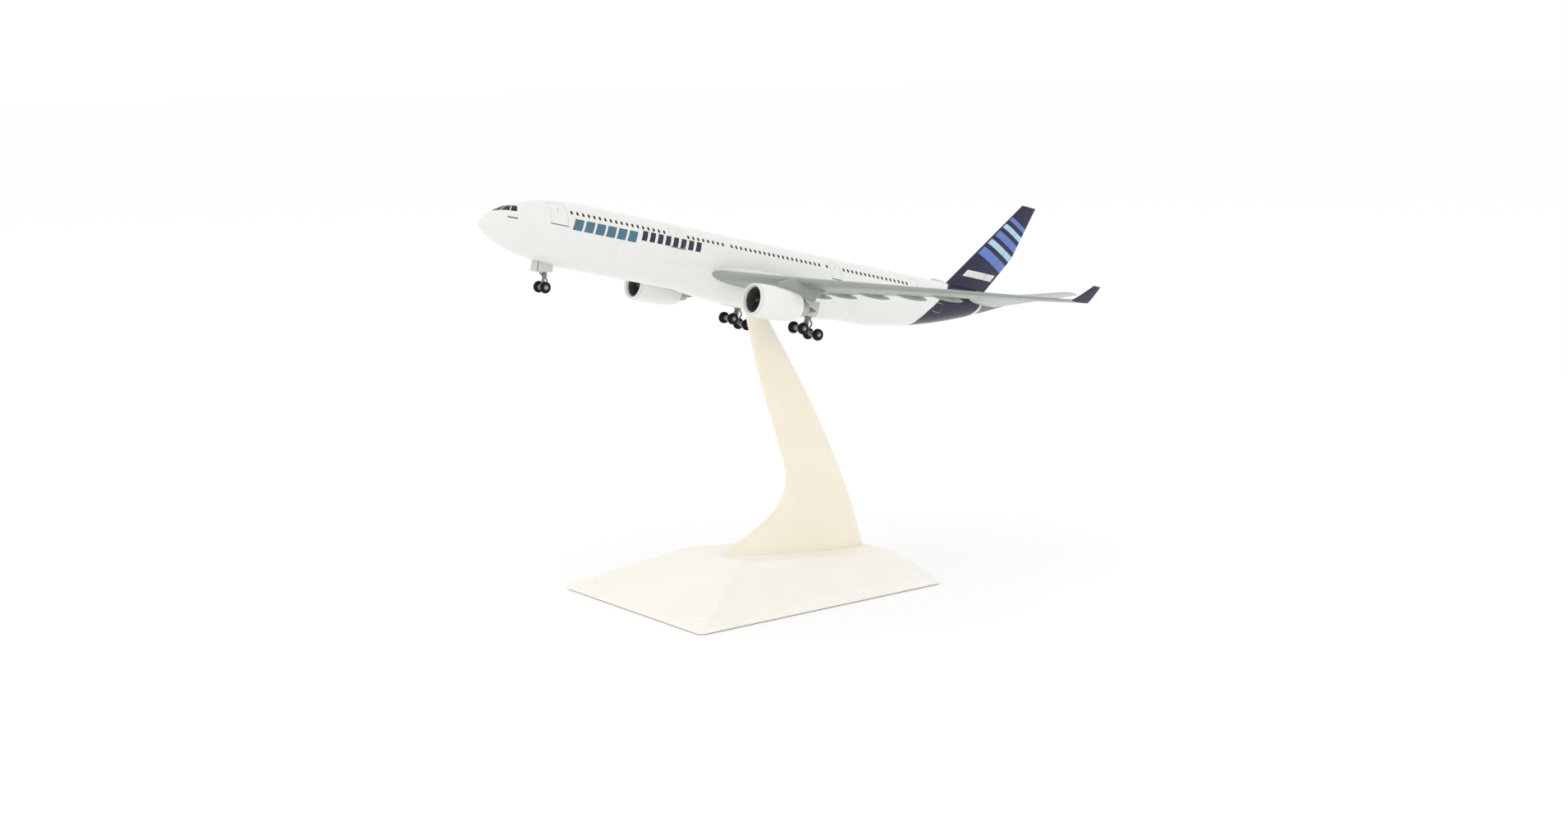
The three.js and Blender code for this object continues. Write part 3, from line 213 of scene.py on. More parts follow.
def merged(*meshes):
    points, faces, start = [], [], 0
    for p, f in meshes:
        p = np.asarray(p, float).reshape(-1, 3)
        points.append(p)
        faces.extend(tuple(i + start for i in face) for face in f)
        start += len(p)
    return np.concatenate(points), faces


def moved(mesh, shift=(0, 0, 0), mirror=False):
    points = np.array(mesh[0], float)
    if mirror:
        points[:, 0] *= -1
    return points + np.array(shift, float), mesh[1]


def turned(profile, sides=48, axis="y"):
    """Surface of revolution about an axis from (radius, place) pairs; ends on the axis close to a point."""
    points, faces, last = [], [], None
    for radius, along in profile:
        if radius < 1e-6:
            ring = [len(points)]
            points.append((0.0, along, 0.0))
        else:
            ring = []
            for i in range(sides):
                angle = 2 * math.pi * i / sides
                ring.append(len(points))
                points.append((radius * math.sin(angle), along, radius * math.cos(angle)))
        if last is not None:
            n = max(len(last), len(ring))
            for i in range(n):
                a, b = last[i % len(last)], last[(i + 1) % len(last)]
                c, d = ring[(i + 1) % len(ring)], ring[i % len(ring)]
                face = tuple(dict.fromkeys((a, b, c, d)))
                if len(face) > 2:
                    faces.append(face)
        last = ring
    points = np.array(points)
    if axis == "x":
        points = points[:, (1, 0, 2)]
    if axis == "z":
        points = points[:, (0, 2, 1)]
    return points, faces


def curve(points, steps):
    """Catmull-Rom samples through points of any dimension, the ends repeated."""
    p = [np.asarray(q, float) for q in points]
    samples = []
    for n in range(steps + 1):
        t = (len(p) - 1) * n / steps
        k = min(int(t), len(p) - 2)
        w = t - k
        a, b, c, d = p[max(0, k - 1)], p[k], p[k + 1], p[min(len(p) - 1, k + 2)]
        v0, v1 = (c - a) / 2, (d - b) / 2
        samples.append((2 * b - 2 * c + v0 + v1) * w**3 + (-3 * b + 3 * c - 2 * v0 - v1) * w**2 + v0 * w + b)
    return samples


def rod(start, end, radius, sides=20, chamfer=0.12):
    """Round bar between two points with chamfered ends."""
    start, end = np.array(start, float), np.array(end, float)
    along = end - start
    length = np.linalg.norm(along)
    along /= length
    side = np.cross(along, (1.0, 0.0, 0.0) if abs(along[0]) < 0.8 else (0.0, 1.0, 0.0))
    side /= np.linalg.norm(side)
    other = np.cross(along, side)
    chamfer = min(chamfer, radius * 0.5, length * 0.3)
    rings = []
    angles = np.arange(sides) * 2 * math.pi / sides
    circle = np.outer(np.cos(angles), side) + np.outer(np.sin(angles), other)
    ends = ((radius - chamfer, 0), (radius, chamfer), (radius, length - chamfer), (radius - chamfer, length))
    for r, y in ends:
        rings.append(start + along * y + r * circle)
    return loft(rings)


def rounded(bm, rounding, segments):
    """Rounds every edge of a bmesh, and gives it back as points and faces."""
    if rounding:
        bmesh.ops.bevel(bm, geom=bm.edges[:], offset=rounding, segments=segments, affect="EDGES", profile=0.5,
                        clamp_overlap=True)
    bm.verts.index_update()
    points = np.array([v.co for v in bm.verts])
    faces = [tuple(v.index for v in f.verts) for f in bm.faces]
    bm.free()
    return points, faces


def slab(low, high, rounding=0.2, segments=2):
    """Box between two corners with rounded edges."""
    bm = bmesh.new()
    bmesh.ops.create_cube(bm, size=1.0)
    low, high = np.array(low, float), np.array(high, float)
    for v in bm.verts:
        v.co = Vector((np.array(v.co) + 0.5) * (high - low) + low)
    return rounded(bm, min(rounding, 0.45 * float((high - low).min())), segments)


def plate(outline, thickness, x=0.0, rounding=0.3, segments=2):
    """Plate across X from an outline of (y, z) pairs with rounded rims."""
    bm = bmesh.new()
    near = [bm.verts.new((x - thickness / 2, y, z)) for y, z in outline]
    far = [bm.verts.new((x + thickness / 2, y, z)) for y, z in outline]
    bm.faces.new(near)
    bm.faces.new(far[::-1])
    n = len(outline)
    for i in range(n):
        bm.faces.new((near[i], far[i], far[(i + 1) % n], near[(i + 1) % n]))
    bmesh.ops.recalc_face_normals(bm, faces=bm.faces[:])
    return rounded(bm, rounding, segments)


def turned_to(mesh, facing):
    """The mesh with every face turned towards the direction facing(centre of the face)."""
    points = np.asarray(mesh[0], float)
    faces = []
    for face in mesh[1]:
        corners = points[list(face)]
        normal = np.cross(corners[1] - corners[0], corners[2] - corners[0])
        if len(face) > 3:
            normal = np.cross(corners[2] - corners[0], corners[3] - corners[1])
        faces.append(face if np.dot(normal, facing(corners.mean(0))) > 0 else face[::-1])
    return points, faces


def placed(name, mesh, place):
    """Blender mesh of millimetre points brought into the frame."""
    data = bpy.data.meshes.new(name)
    data.from_pydata([tuple(p) for p in place(mesh[0])], [], [tuple(f) for f in mesh[1]])
    return data


def outwards(data):
    """Welds a closed mesh and turns its faces to the outside."""
    bm = bmesh.new()
    bm.from_mesh(data)
    bmesh.ops.remove_doubles(bm, verts=bm.verts[:], dist=1e-7)
    bmesh.ops.recalc_face_normals(bm, faces=bm.faces[:])
    bm.to_mesh(data)
    bm.free()


def linked(name, data):
    made = bpy.data.objects.new(name, data)
    bpy.context.scene.collection.objects.link(made)
    return made


def piece(name, mesh, material, nodes=(), body="aircraft", place=in_aircraft, sharp=35.0,
          facing=None):
    """Makes a piece from millimetre points and hangs it on a body in place of CAD nodes.

    Closed meshes are turned to face outwards; an open one says which way with facing.
    """
    data = placed(name, turned_to(mesh, facing) if facing else mesh, place)
    data.validate()
    if not facing:
        outwards(data)
    data.polygons.foreach_set("use_smooth", [True] * len(data.polygons))
    data.set_sharp_from_angle(angle=math.radians(sharp))
    made = linked(name, data)
    data.materials.append(material)
    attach(made, body)
    if nodes:
        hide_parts(*([nodes] if isinstance(nodes, str) else nodes))
    return made


def modified(made, *steps):
    """Runs modifiers, each (type, settings), and keeps the result as the piece's mesh."""
    for kind, settings in steps:
        modifier = made.modifiers.new(kind.lower(), kind)
        for key, value in settings.items():
            setattr(modifier, key, value)
    bpy.context.view_layer.update()
    seen = made.evaluated_get(bpy.context.evaluated_depsgraph_get())
    data = bpy.data.meshes.new_from_object(seen)
    made.modifiers.clear()
    made.data = data
    return made


def cutter(mesh, place=in_aircraft):
    """A loose solid that only cuts others."""
    data = placed("cutter", mesh, place)
    outwards(data)
    return linked("cutter", data)


def cut(made, tool):
    modified(made, ("BOOLEAN", {"object": tool, "operation": "DIFFERENCE", "solver": "EXACT"}))
    bpy.data.objects.remove(tool)
    return made


# ---------------------------------------------------------------- fuselage

LENGTH, RADIUS, DROOP = 308.0, 14.1, 2.0
NOSE_LENGTH = 45.0
CONE_AT, UPSWEEP_AT, TAPER_AT = 282.0, 206.0, 212.0
TAIL_RISE, TAIL_HALF_WIDTH = 10.7, 1.3


def clamp(value, low=0.0, high=1.0):
    return max(low, min(high, value))


def growth(station, fullness):
    rest = 1 - clamp(station / NOSE_LENGTH)
    return (1 - rest * rest) ** fullness if rest < 1 else 0.0


def past(station, start):
    """How far along the tail a station is, from 0 at its start to 1 at the fuselage's end."""
    return clamp((station - start) / (LENGTH - start))


def crown(station):
    return -DROOP + (RADIUS + DROOP) * growth(station, 0.66) - 0.8 * past(station, UPSWEEP_AT) ** 2


def belly(station):
    rise = (TAIL_RISE + RADIUS) * past(station, UPSWEEP_AT) ** 1.65
    return -DROOP - (RADIUS - DROOP) * growth(station, 0.6) + rise


def half_width(station):
    return RADIUS * growth(station, 0.58) - (RADIUS - TAIL_HALF_WIDTH) * past(station, TAPER_AT) ** 1.75


def waist(station):
    if station < NOSE_LENGTH:
        return -DROOP * (1 - station / NOSE_LENGTH) ** 2
    return (crown(station) + belly(station)) / 2


def hull(station, angle, grow=0.0):
    """Point of the fuselage at a station and an angle in degrees from the crown, positive to the left."""
    a = math.radians(angle)
    middle = waist(station)
    reach = crown(station) - middle if math.cos(a) > 0 else middle - belly(station)
    across = (half_width(station) + grow) * math.sin(a)
    return np.array((across, station, middle + (reach + grow) * math.cos(a)))


def hull_at(station, height, side, grow=0.0):
    """Point of the fuselage at a station and a height, on one side."""
    middle = waist(station)
    reach = crown(station) - middle if height > middle else middle - belly(station)
    angle = math.degrees(math.acos(clamp((height - middle) / reach, -1, 1)))
    return hull(station, side * angle, grow)


def off_hull(point):
    n = np.array((point[0], 0.0, point[2] - waist(point[1])))
    return n / (np.linalg.norm(n) + 1e-9)


SEAT_AT, SOCKET = 148.5, (10.4, 14.0)
NOSE_RINGS = [NOSE_LENGTH * (k / 44) ** 2 for k in range(1, 45)]
TUBE_RINGS = [52, 60, 70, 80, 90, 100, 110, 120, 130, 136, 141.5, 148.5, 155.5, 162, 170, 180, 190, 199, 206]
TAIL_RINGS = np.linspace(UPSWEEP_AT, CONE_AT, 37)[1:]
STATIONS = (*NOSE_RINGS, *TUBE_RINGS, *TAIL_RINGS)
ANGLES = np.linspace(0, 180, 57)
SPLIT = 0.015  # from the centreline to the edge of each half


def fuselage_half(side):
    """Half shell, split on the centreline, open round the stand's socket."""
    rings = []
    for station in STATIONS:
        ring = []
        for angle in ANGLES:
            x, s, z = hull(station, angle)
            ring.append((side * max(x, SPLIT), s, z))
        rings.append(ring)
    points, faces = loft(rings, closed=False)
    tip = len(points)
    points = np.vstack((points, (side * SPLIT, 0.0, -DROOP)))
    faces += [(tip, i + 1, i) for i in range(len(ANGLES) - 1)]

    def in_socket(face):
        middle = points[list(face)].mean(0)
        return abs(middle[1] - SEAT_AT) < SOCKET[1] / 2 and middle[2] < 0 and abs(middle[0]) < SOCKET[0] / 2

    return points, [f for f in faces if not in_socket(f)]


for name, side in SIDES:
    shell = piece(f"fuselage_shell_{name}", fuselage_half(side), WHITE, f"fuselage_{name}",
                  facing=off_hull, sharp=60)
    modified(shell, ("SOLIDIFY", {"thickness": 1.2 * MM, "offset": -1.0}))


def hull_patch(rows, side, lift=0.03):
    """Printed patch that follows the hull; rows are lists of (station, angle)."""
    rings = [[hull(s, side * a, lift) for s, a in row] for row in rows]
    return loft(rings, closed=False)


def hull_quad(corners, side, steps=(8, 3), lift=0.03):
    """Patch between four (station, height) corners: bottom front, bottom rear, top rear, top front."""
    rings = [[hull_at(s, z, side, lift) for s, z in row] for row in grid(corners, *steps)]
    return loft(rings, closed=False)


def hull_dot(station, height, wide, tall, side, lift=0.035, power=0.55, sides=16):
    """Small round-cornered print such as a window."""
    points = [hull_at(station, height, side, lift)]
    for i in range(sides):
        a = 2 * math.pi * i / sides
        c, s = math.cos(a), math.sin(a)
        across = math.copysign(abs(c) ** power, c) * wide / 2
        up = math.copysign(abs(s) ** power, s) * tall / 2
        points.append(hull_at(station + across, height + up, side, lift))
    return points, [(0, i + 1, (i + 1) % sides + 1) for i in range(sides)]


def ribbon(path, normals, width, closed=False):
    """Flat line of a width along 3-D points, lying square to the normals."""
    path = np.asarray(path, float)
    normals = np.asarray(normals, float)
    count = len(path)
    edge = []
    for i in range(count):
        if closed:
            along = path[(i + 1) % count] - path[i - 1]
        else:
            along = path[min(i + 1, count - 1)] - path[max(i - 1, 0)]
        side = np.cross(normals[i], along)
        side /= np.linalg.norm(side) + 1e-12
        edge.append((path[i] - side * width / 2, path[i] + side * width / 2))
    points = np.array(edge).reshape(-1, 3)
    faces = []
    for i in range(count if closed else count - 1):
        a, b = 2 * i, 2 * ((i + 1) % count)
        faces.append((a, b, b + 1, a + 1))
    return points, faces


def hull_outline(front, rear, low, high, side, width=0.2, radius=1.0, lift=0.03):
    """Round-cornered door outline between two stations and two heights."""
    path = []
    for cx, cz, start in ((rear - radius, high - radius, 0), (front + radius, high - radius, 90),
                          (front + radius, low + radius, 180), (rear - radius, low + radius, 270)):
        for k in range(5):
            a = math.radians(start + 22.5 * k)
            path.append((cx + radius * math.cos(a), cz + radius * math.sin(a)))
    dense = []
    for i, (s, z) in enumerate(path):
        s2, z2 = path[(i + 1) % len(path)]
        steps = max(1, int(math.hypot(s2 - s, z2 - z) / 1.2))
        dense += [(s + (s2 - s) * k / steps, z + (z2 - z) * k / steps) for k in range(steps)]
    spots = [hull_at(s, z, side, lift) for s, z in dense]
    return ribbon(spots, [off_hull(p) for p in spots], width, closed=True)


WINDOW_HEIGHT, WINDOW_SIZE = 9.15, (1.1, 1.45)
HATCH_LINE = 0.14
WINDOW_RUNS = ((36.9, 84.5, 18), (97.5, 116.6, 8), (121.5, 172.6, 20), (177.2, 177.2, 1), (187.5, 227.4, 16))
DOORS = ((27.0, 34.6, 3.2, 11.9), (87.6, 94.6, 3.6, 11.6), (179.6, 185.0, 4.2, 11.4), (231.0, 238.0, 4.2, 11.8))
PANES = (
    ((5.2, 1.5), (7.0, 22.0), (10.6, 5.0), (10.3, 1.5)),
    ((7.4, 24.0), (10.2, 37.5), (12.2, 14.0), (10.9, 5.5)),
    ((10.6, 39.5), (12.9, 46.0), (14.0, 25.5), (12.4, 15.5)),
)
for name, side in SIDES:
    windows = [hull_dot(station, WINDOW_HEIGHT, *WINDOW_SIZE, side)
               for run in WINDOW_RUNS for station in np.linspace(*run)]
    piece(f"cabin_windows_{name}", merged(*windows), WINDOW, facing=off_hull)
    panes = [hull_patch(grid(corners, 6, 6), side, 0.04) for corners in PANES]
    piece(f"cockpit_panes_{name}", merged(*panes), WINDOW, facing=off_hull)
    lines = [hull_outline(*door, side) for door in DOORS]
    lines += [hull_dot((d[0] + d[1]) / 2, 9.4, 0.7, 0.9, side) for d in DOORS]
    if side > 0:
        lines += [hull_outline(246, 252, -1.5, 3.0, side, HATCH_LINE), hull_dot(60, -4, 0.6, 0.6, side)]
    else:
        lines.append(hull_outline(52, 66, -9.2, -3.4, side, HATCH_LINE))
        lines.append(hull_outline(196, 208, -8.4, -3.0, side, HATCH_LINE))
    piece(f"door_outlines_{name}", merged(*lines), LINE, facing=off_hull)
    sills = []
    for door_front, door_rear, foot, _ in DOORS:
        front, rear, low, high = door_front - 0.4, door_rear + 0.4, foot - 0.35, foot + 0.05
        sills.append(hull_quad(((front, low), (rear, low), (rear, high), (front, high)), side, (6, 1), 0.05))
    sills.append(hull_quad(((8.8, 2.1), (12.6, 2.1), (12.9, 2.7), (9.1, 2.7)), side, (5, 1), 0.05))
    piece(f"door_sills_{name}", merged(*sills), DARK_LINE, facing=off_hull)
    teal = [hull_quad(((s, 2.1), (s + 4.4, 2.1), (s + 6.0, 6.9), (s + 1.6, 6.9)), side, (6, 5))
            for s in np.linspace(36.6, 64.2, 6)]
    piece(f"teal_dashes_{name}", merged(*teal), TEAL, facing=off_hull)
    navy = [hull_quad(((s, 3.6), (s + 2.7, 3.6), (s + 4.1, 7.9), (s + 1.4, 7.9)), side, (4, 5))
            for s in np.linspace(71.6, 100.4, 8)]
    piece(f"navy_dashes_{name}", merged(*navy), INK, facing=off_hull)
    band = []
    for angle in np.linspace(0, 180, 61):
        front = np.interp(angle, (0, 45, 79, 110, 134, 156, 180),
                          (263.5, 256.5, 249.7, 242.8, 239.8, 239.3, 239.2))
        rear = np.interp(angle, (0, 80, 100, 120, 150, 180), (280.8, 280.8, 280.4, 279.4, 277.2, 276.4))
        band.append([(station, angle) for station in np.linspace(front, rear, 25)])
    piece(f"tail_band_{name}", hull_patch(band, side), NAVY, facing=off_hull)

cone = [[hull(station, a * 7.5) for a in range(48)] for station in np.linspace(CONE_AT + 0.12, LENGTH, 21)]
outlet = turned([(1.28, 0), (1.0, 0.05), (0.9, -0.2), (0.85, -2.0), (0, -2.0)], 32)
cone_mesh = merged(loft(cone, caps=False), moved(outlet, (0, LENGTH, waist(LENGTH))))
piece("tail_cone_skin", cone_mesh, DARK_METAL, "tail_cone")

# ---------------------------------------------------------------- belly fairing

FAIRING = (98.0, 31.8, 17.0)  # length, width and depth below the centreline
FAIRING_MIDDLE, END_HALF_WIDTH, END_DEPTH = -3.0, 10.0, 9.5
CORNER_POWER = 2 / 2.6
PLUG = (4.0, 8.0, 8.5)
PLUG_FOOT = -FAIRING[2] - 0.3


def fairing_rings(rings=70, sides=96):
    result = []
    for share in np.linspace(0, 1, rings + 1):
        swell = math.sqrt(max(0.0, math.sin(math.pi * share)))
        wide = END_HALF_WIDTH + (FAIRING[1] / 2 - END_HALF_WIDTH) * swell
        deep = END_DEPTH + (FAIRING[2] + FAIRING_MIDDLE - END_DEPTH) * swell
        tall = 4 + 2.5 * swell
        ring = []
        for i in range(sides):
            a = 2 * math.pi * i / sides
            sine, cosine = math.sin(a), math.cos(a)
            x = math.copysign(abs(sine) ** CORNER_POWER, sine) * wide
            z = math.copysign(abs(cosine) ** CORNER_POWER, cosine) * (tall if cosine > 0 else deep)
            ring.append((x, SEAT_AT + (share - 0.5) * FAIRING[0], FAIRING_MIDDLE + z))
        result.append(ring)
    return result


fairing = piece("belly_fairing_skin", loft(fairing_rings()), WHITE, "belly_fairing")
gap = 0.3
half = (PLUG[0] / 2 + gap, PLUG[1] / 2 + gap)
socket_top = PLUG_FOOT + PLUG[2] + gap
cut(fairing, cutter(slab((-half[0], SEAT_AT - half[1], -30), (half[0], SEAT_AT + half[1], socket_top), 0.3)))
fairing.data.set_sharp_from_angle(angle=math.radians(35))

# ---------------------------------------------------------------- wings

SPAN, ROOT_X, ROOT_AT, SWEEP, DIHEDRAL = 146.5, 14.0, 111.5, 33.65, 5.1
KINK_X, ROOT_CHORD, KINK_CHORD, TIP_CHORD = 47.0, 51.0, 36.0, 9.6


def tan(degrees):
    return math.tan(math.radians(degrees))


def wing_front(x):
    return ROOT_AT + (x - ROOT_X) * tan(SWEEP)


def wing_chord(x):
    if x < KINK_X:
        return ROOT_CHORD + (KINK_CHORD - ROOT_CHORD) * (x - ROOT_X) / (KINK_X - ROOT_X)
    return KINK_CHORD + (TIP_CHORD - KINK_CHORD) * (x - KINK_X) / (SPAN - KINK_X)


def wing_height(x, station):
    incidence = 2 * (1 - clamp((x - ROOT_X) / (SPAN - ROOT_X)))
    return -4.5 + (x - ROOT_X) * tan(DIHEDRAL) - (station - wing_front(x)) * tan(incidence)


def foil(share, thickness):
    s = clamp(share)
    return 5 * thickness * (0.2969 * math.sqrt(s) - 0.126 * s - 0.3516 * s**2 + 0.2843 * s**3 - 0.0985 * s**4)


def wing_point(x, share, top, side, lift=0.0):
    chord = wing_chord(x)
    thickness = 0.125 - 0.03 * clamp(x / SPAN)
    station = wing_front(x) + share * chord
    rise = foil(share, thickness) * chord + lift
    return np.array((side * x, station, wing_height(x, station) + (rise if top else -rise)))


def off_wing(point):
    return 0, 0, point[2] - wing_height(abs(point[0]), point[1])


def foil_loop(count=40):
    """(share, top) round an aerofoil from the trailing edge over the top and back below."""
    shares = [(1 + math.cos(math.pi * k / count)) / 2 for k in range(count + 1)]
    return [(s, True) for s in shares] + [(s, False) for s in shares[::-1][1:]]


def wing_mesh(side):
    inner = (*np.linspace(8, ROOT_X, 4)[:-1], *np.linspace(ROOT_X, KINK_X, 15)[:-1])
    spans = (*inner, *np.linspace(KINK_X, SPAN, 37))
    return loft([[wing_point(x, s, top, side) for s, top in foil_loop()] for x in spans])


def canoe_mesh(side, x, length=19.0):
    trailing = wing_front(x) + wing_chord(x)
    start = trailing + 5 - length
    rings = []
    for k in range(25):
        share = 0.012 + 0.976 * k / 24
        swell = math.sqrt(max(0.0, math.sin(math.pi * share**0.8)))
        station = start + share * length
        height = wing_height(x, min(station, trailing)) - 0.9
        rings.append([(side * x + 0.95 * swell * math.sin(a), station, height + 1.35 * swell * math.cos(a))
                      for a in np.arange(20) * math.pi / 10])
    return loft(rings)


def wing_line(points, top, side, width=0.16, lift=0.03):
    """Printed or scribed line on a wing through (x, share) points."""
    path = []
    for (x0, s0), (x1, s1) in zip(points[:-1], points[1:]):
        steps = max(2, int(max(abs(x1 - x0) / 3, abs(s1 - s0) * wing_chord(x0) / 1.5)))
        for k in range(steps):
            path.append(wing_point(x0 + (x1 - x0) * k / steps, s0 + (s1 - s0) * k / steps, top, side, lift))
    path.append(wing_point(*points[-1], top, side, lift))
    return ribbon(path, [(0, 0, 1.0 if top else -1.0)] * len(path), width)


FLAP, AILERON = 0.74, 0.76  # shares of the chord where they start
MAIN_X, MAIN_AT, MAIN_LOW = 26.6, 158.4, -22.3
BOGIE_TILT = math.radians(10)
MAIN_TOP = wing_height(MAIN_X, MAIN_AT) - 3.6
WINGLET_RISE, WINGLET_OUT, WINGLET_AFT, WINGLET_CHORD = 7.4, 4.44, 7.0, 4.1
TAILPLANE_AT, TAILPLANE_X, TAILPLANE_HEIGHT, TAILPLANE_SPAN = 270.0, 6.0, 7.5, 49.5
TAILPLANE_CHORDS, TAILPLANE_SWEEP, TAILPLANE_DIHEDRAL = (24.0, 9.0), 30.5, 14.0


def tailplane_height(x):
    return TAILPLANE_HEIGHT + (x - TAILPLANE_X) * tan(TAILPLANE_DIHEDRAL)


def tailplane_point(x, share, top, side, tip=1.0, lift=0.0):
    """Point of a tailplane; tip below 1 draws the section in about its middle."""
    outboard = (x - TAILPLANE_X) / (TAILPLANE_SPAN - TAILPLANE_X)
    chord = TAILPLANE_CHORDS[0] + (TAILPLANE_CHORDS[1] - TAILPLANE_CHORDS[0]) * outboard
    station = TAILPLANE_AT + (x - TAILPLANE_X) * tan(TAILPLANE_SWEEP) + chord * (0.5 + (share - 0.5) * tip)
    rise = foil(share, 0.11) * chord * tip + lift
    return side * x, station, tailplane_height(x) + (rise if top else -rise)


for name, side in SIDES:
    piece(f"wing_skin_{name}", wing_mesh(side), WING_GREY, f"wing_{name}")
    for number, x in enumerate((27, 41, 57, 74, 90), 1):
        piece(f"flap_fairing_{name}_{number}", canoe_mesh(side, x), SHADED_CANOE_GREY)
    lines = []
    for top in (True, False):
        runs = [[(17, FLAP), (46.2, FLAP)], [(48.2, FLAP), (101, FLAP)], [(x, AILERON) for x in (103, 123, 140)]]
        runs += [[(x, FLAP), (x, 0.995)] for x in (101, 46.2, 48.2)]
        runs += [[(x, AILERON), (x, 0.99)] for x in (103, 123, 140)]
        runs.append([(20, 0.14), (143, 0.16)] if top else [(20, 0.06), (143, 0.07)])
        lines += [wing_line(run, top, side) for run in runs]
    for x in (30, 44, 62, 80, 98, 116, 130):
        lines.append(wing_line([(x, 0.015), (x, 0.15)], True, side))
    for x in (32, 45, 56, 67, 78, 89, 100):
        lines.append(wing_line([(x, 0.6), (x, FLAP)], True, side, 0.12))
    lines.append(wing_line([(32, 0.6), (100, 0.6)], True, side, 0.12))
    lines += [wing_line([(x, 0.45), (x + 2.2, 0.45)], False, side, 1.1) for x in (60, 72, 84, 96, 108)]
    piece(f"wing_lines_{name}", merged(*lines), WING_LINE, facing=off_wing)
    boss = turned([(0, 3.8), (2.6, 3.8), (2.3, 3.4), (2.3, 0.8), (0, 0.8)], 36, "z")
    piece(f"main_gear_boss_{name}", moved(boss, (side * MAIN_X, MAIN_AT, MAIN_TOP - 0.8)), WING_GREY)

    rings = []
    for share in np.linspace(0, 1, 29):
        lean = math.radians(DIHEDRAL + (78 - DIHEDRAL) * math.sqrt(share))
        chord = TIP_CHORD + (WINGLET_CHORD - TIP_CHORD) * share
        out = SPAN + 0.06 + WINGLET_OUT * share
        up = wing_height(SPAN, wing_front(SPAN)) + WINGLET_RISE * share**1.15
        front = wing_front(SPAN) + WINGLET_AFT * share
        ring = []
        for s, top in foil_loop(24):
            rise = foil(s, 0.095 + 0.025 * share) * chord * (1 if top else -1)
            ring.append((side * (out - rise * math.sin(lean)), front + s * chord, up + rise * math.cos(lean)))
        rings.append(ring)
    piece(f"winglet_skin_{name}", loft(rings), PLUM, f"winglet_{name}")

    rings = []
    for x in np.linspace(4, TAILPLANE_SPAN, 33):
        tip = 1 - 0.35 * clamp(((x - 4) / (TAILPLANE_SPAN - 4) - 0.97) / 0.03) ** 2
        rings.append([tailplane_point(x, s, top, side, tip) for s, top in foil_loop(28)])
    piece(f"tailplane_skin_{name}", loft(rings), TAIL_GREY, f"tailplane_{name}")
    lines = []
    for top in (True, False):
        path = [tailplane_point(x, 0.7, top, side, lift=0.03) for x in np.linspace(10, 44, 25)]
        lines.append(ribbon(path, [(0, 0, 1.0)] * len(path), 0.15))
    piece(f"elevator_lines_{name}", merged(*lines), WING_LINE,
          facing=lambda p: (0, 0, p[2] - tailplane_height(abs(p[0]))))

# ---------------------------------------------------------------- fin

FIN_TOP, FIN_FOOT, FIN_AT, FIN_SWEEP = 60.2, 15.0, 262.8, 42.7
FIN_TIP_CHORD, FIN_FALL = 9.4, 0.42
HEEL, BEND = (17.4, 291.2), (32.6, 302.8)  # height and station of the two lower corners of the rear edge


def fin_front(z):
    return FIN_AT + (z - FIN_FOOT) * tan(FIN_SWEEP)


def fin_rear(z):
    if z > BEND[0]:
        return BEND[1] + (fin_front(FIN_TOP) + FIN_TIP_CHORD - BEND[1]) * (z - BEND[0]) / (FIN_TOP - BEND[0])
    return HEEL[1] + (BEND[1] - HEEL[1]) * (z - HEEL[0]) / (BEND[0] - HEEL[0])


def fin_half(z, share):
    return foil(share, 4.4 - 3.0 * clamp((z - FIN_FOOT) / (FIN_TOP - FIN_FOOT)))


def fin_point(z, share, left, lift=0.0):
    front, rear = fin_front(z), fin_rear(z)
    half_thick = fin_half(z, share) + lift
    return np.array((half_thick if left else -half_thick, front + share * (rear - front), z))


def off_fin(point):
    return point[0], 0, 0


heights = (*np.linspace(11, BEND[0], 19)[:-1], *np.linspace(BEND[0], FIN_TOP, 25))
rings = [[fin_point(z, s, left) for s, left in foil_loop(28)] for z in heights]
piece("fin_skin", loft(rings), FIN_NAVY, "fin")


def fin_band(low, high, side, lift=0.03, columns=26):
    """Straight printed band that falls towards the rear, between two heights at the leading edge."""

    def hit(level, edge):
        a, b = 12.0, FIN_TOP
        for _ in range(40):
            m = (a + b) / 2
            if level - FIN_FALL * (edge(m) - fin_front(level)) > m:
                a = m
            else:
                b = m
        return (a + b) / 2

    rings = []
    for level in (low, (low + high) / 2, high):
        z0, z1 = level, hit(level, fin_rear)
        s0, s1 = fin_front(z0), fin_rear(z1)
        ring = []
        for u in np.linspace(0, 1, columns + 1):
            z = z0 + (z1 - z0) * u
            station = s0 + (s1 - s0) * u
            share = clamp((station - fin_front(z)) / (fin_rear(z) - fin_front(z)), 0.002, 0.998)
            ring.append(fin_point(z, share, side > 0, lift))
        rings.append(ring)
    return loft(rings, closed=False)


for name, side in SIDES:
    piece(f"fin_mid_bands_{name}", merged(fin_band(32.0, 36.0, side), fin_band(42.5, 45.5, side),
                                          fin_band(51.5, 53.4, side)), MID_BLUE, facing=off_fin)
    piece(f"fin_light_bands_{name}", merged(fin_band(38.0, 40.6, side), fin_band(47.4, 49.6, side)),
          LIGHT_BLUE, facing=off_fin)
    bar = [[fin_point(z, share, side > 0, 0.03) for share in np.linspace(0.14, 0.93, 21)]
           for z in np.linspace(19.2, 22.6, 3)]
    piece(f"fin_root_bar_{name}", loft(bar, closed=False), WHITE, facing=off_fin)
    hinge = [fin_point(z, 0.68, side > 0, 0.04) for z in np.linspace(18, 58, 24)]
    piece(f"rudder_line_{name}", ribbon(hinge, [(side, 0, 0)] * len(hinge), 0.16), INK,
          facing=off_fin)

# ---------------------------------------------------------------- engines

COWL_LENGTH, FAN_RADIUS, FAN_AT = 24.4, 5.2, 7.1
FAN_BLADES, OUTLET_VANES = 20, 24


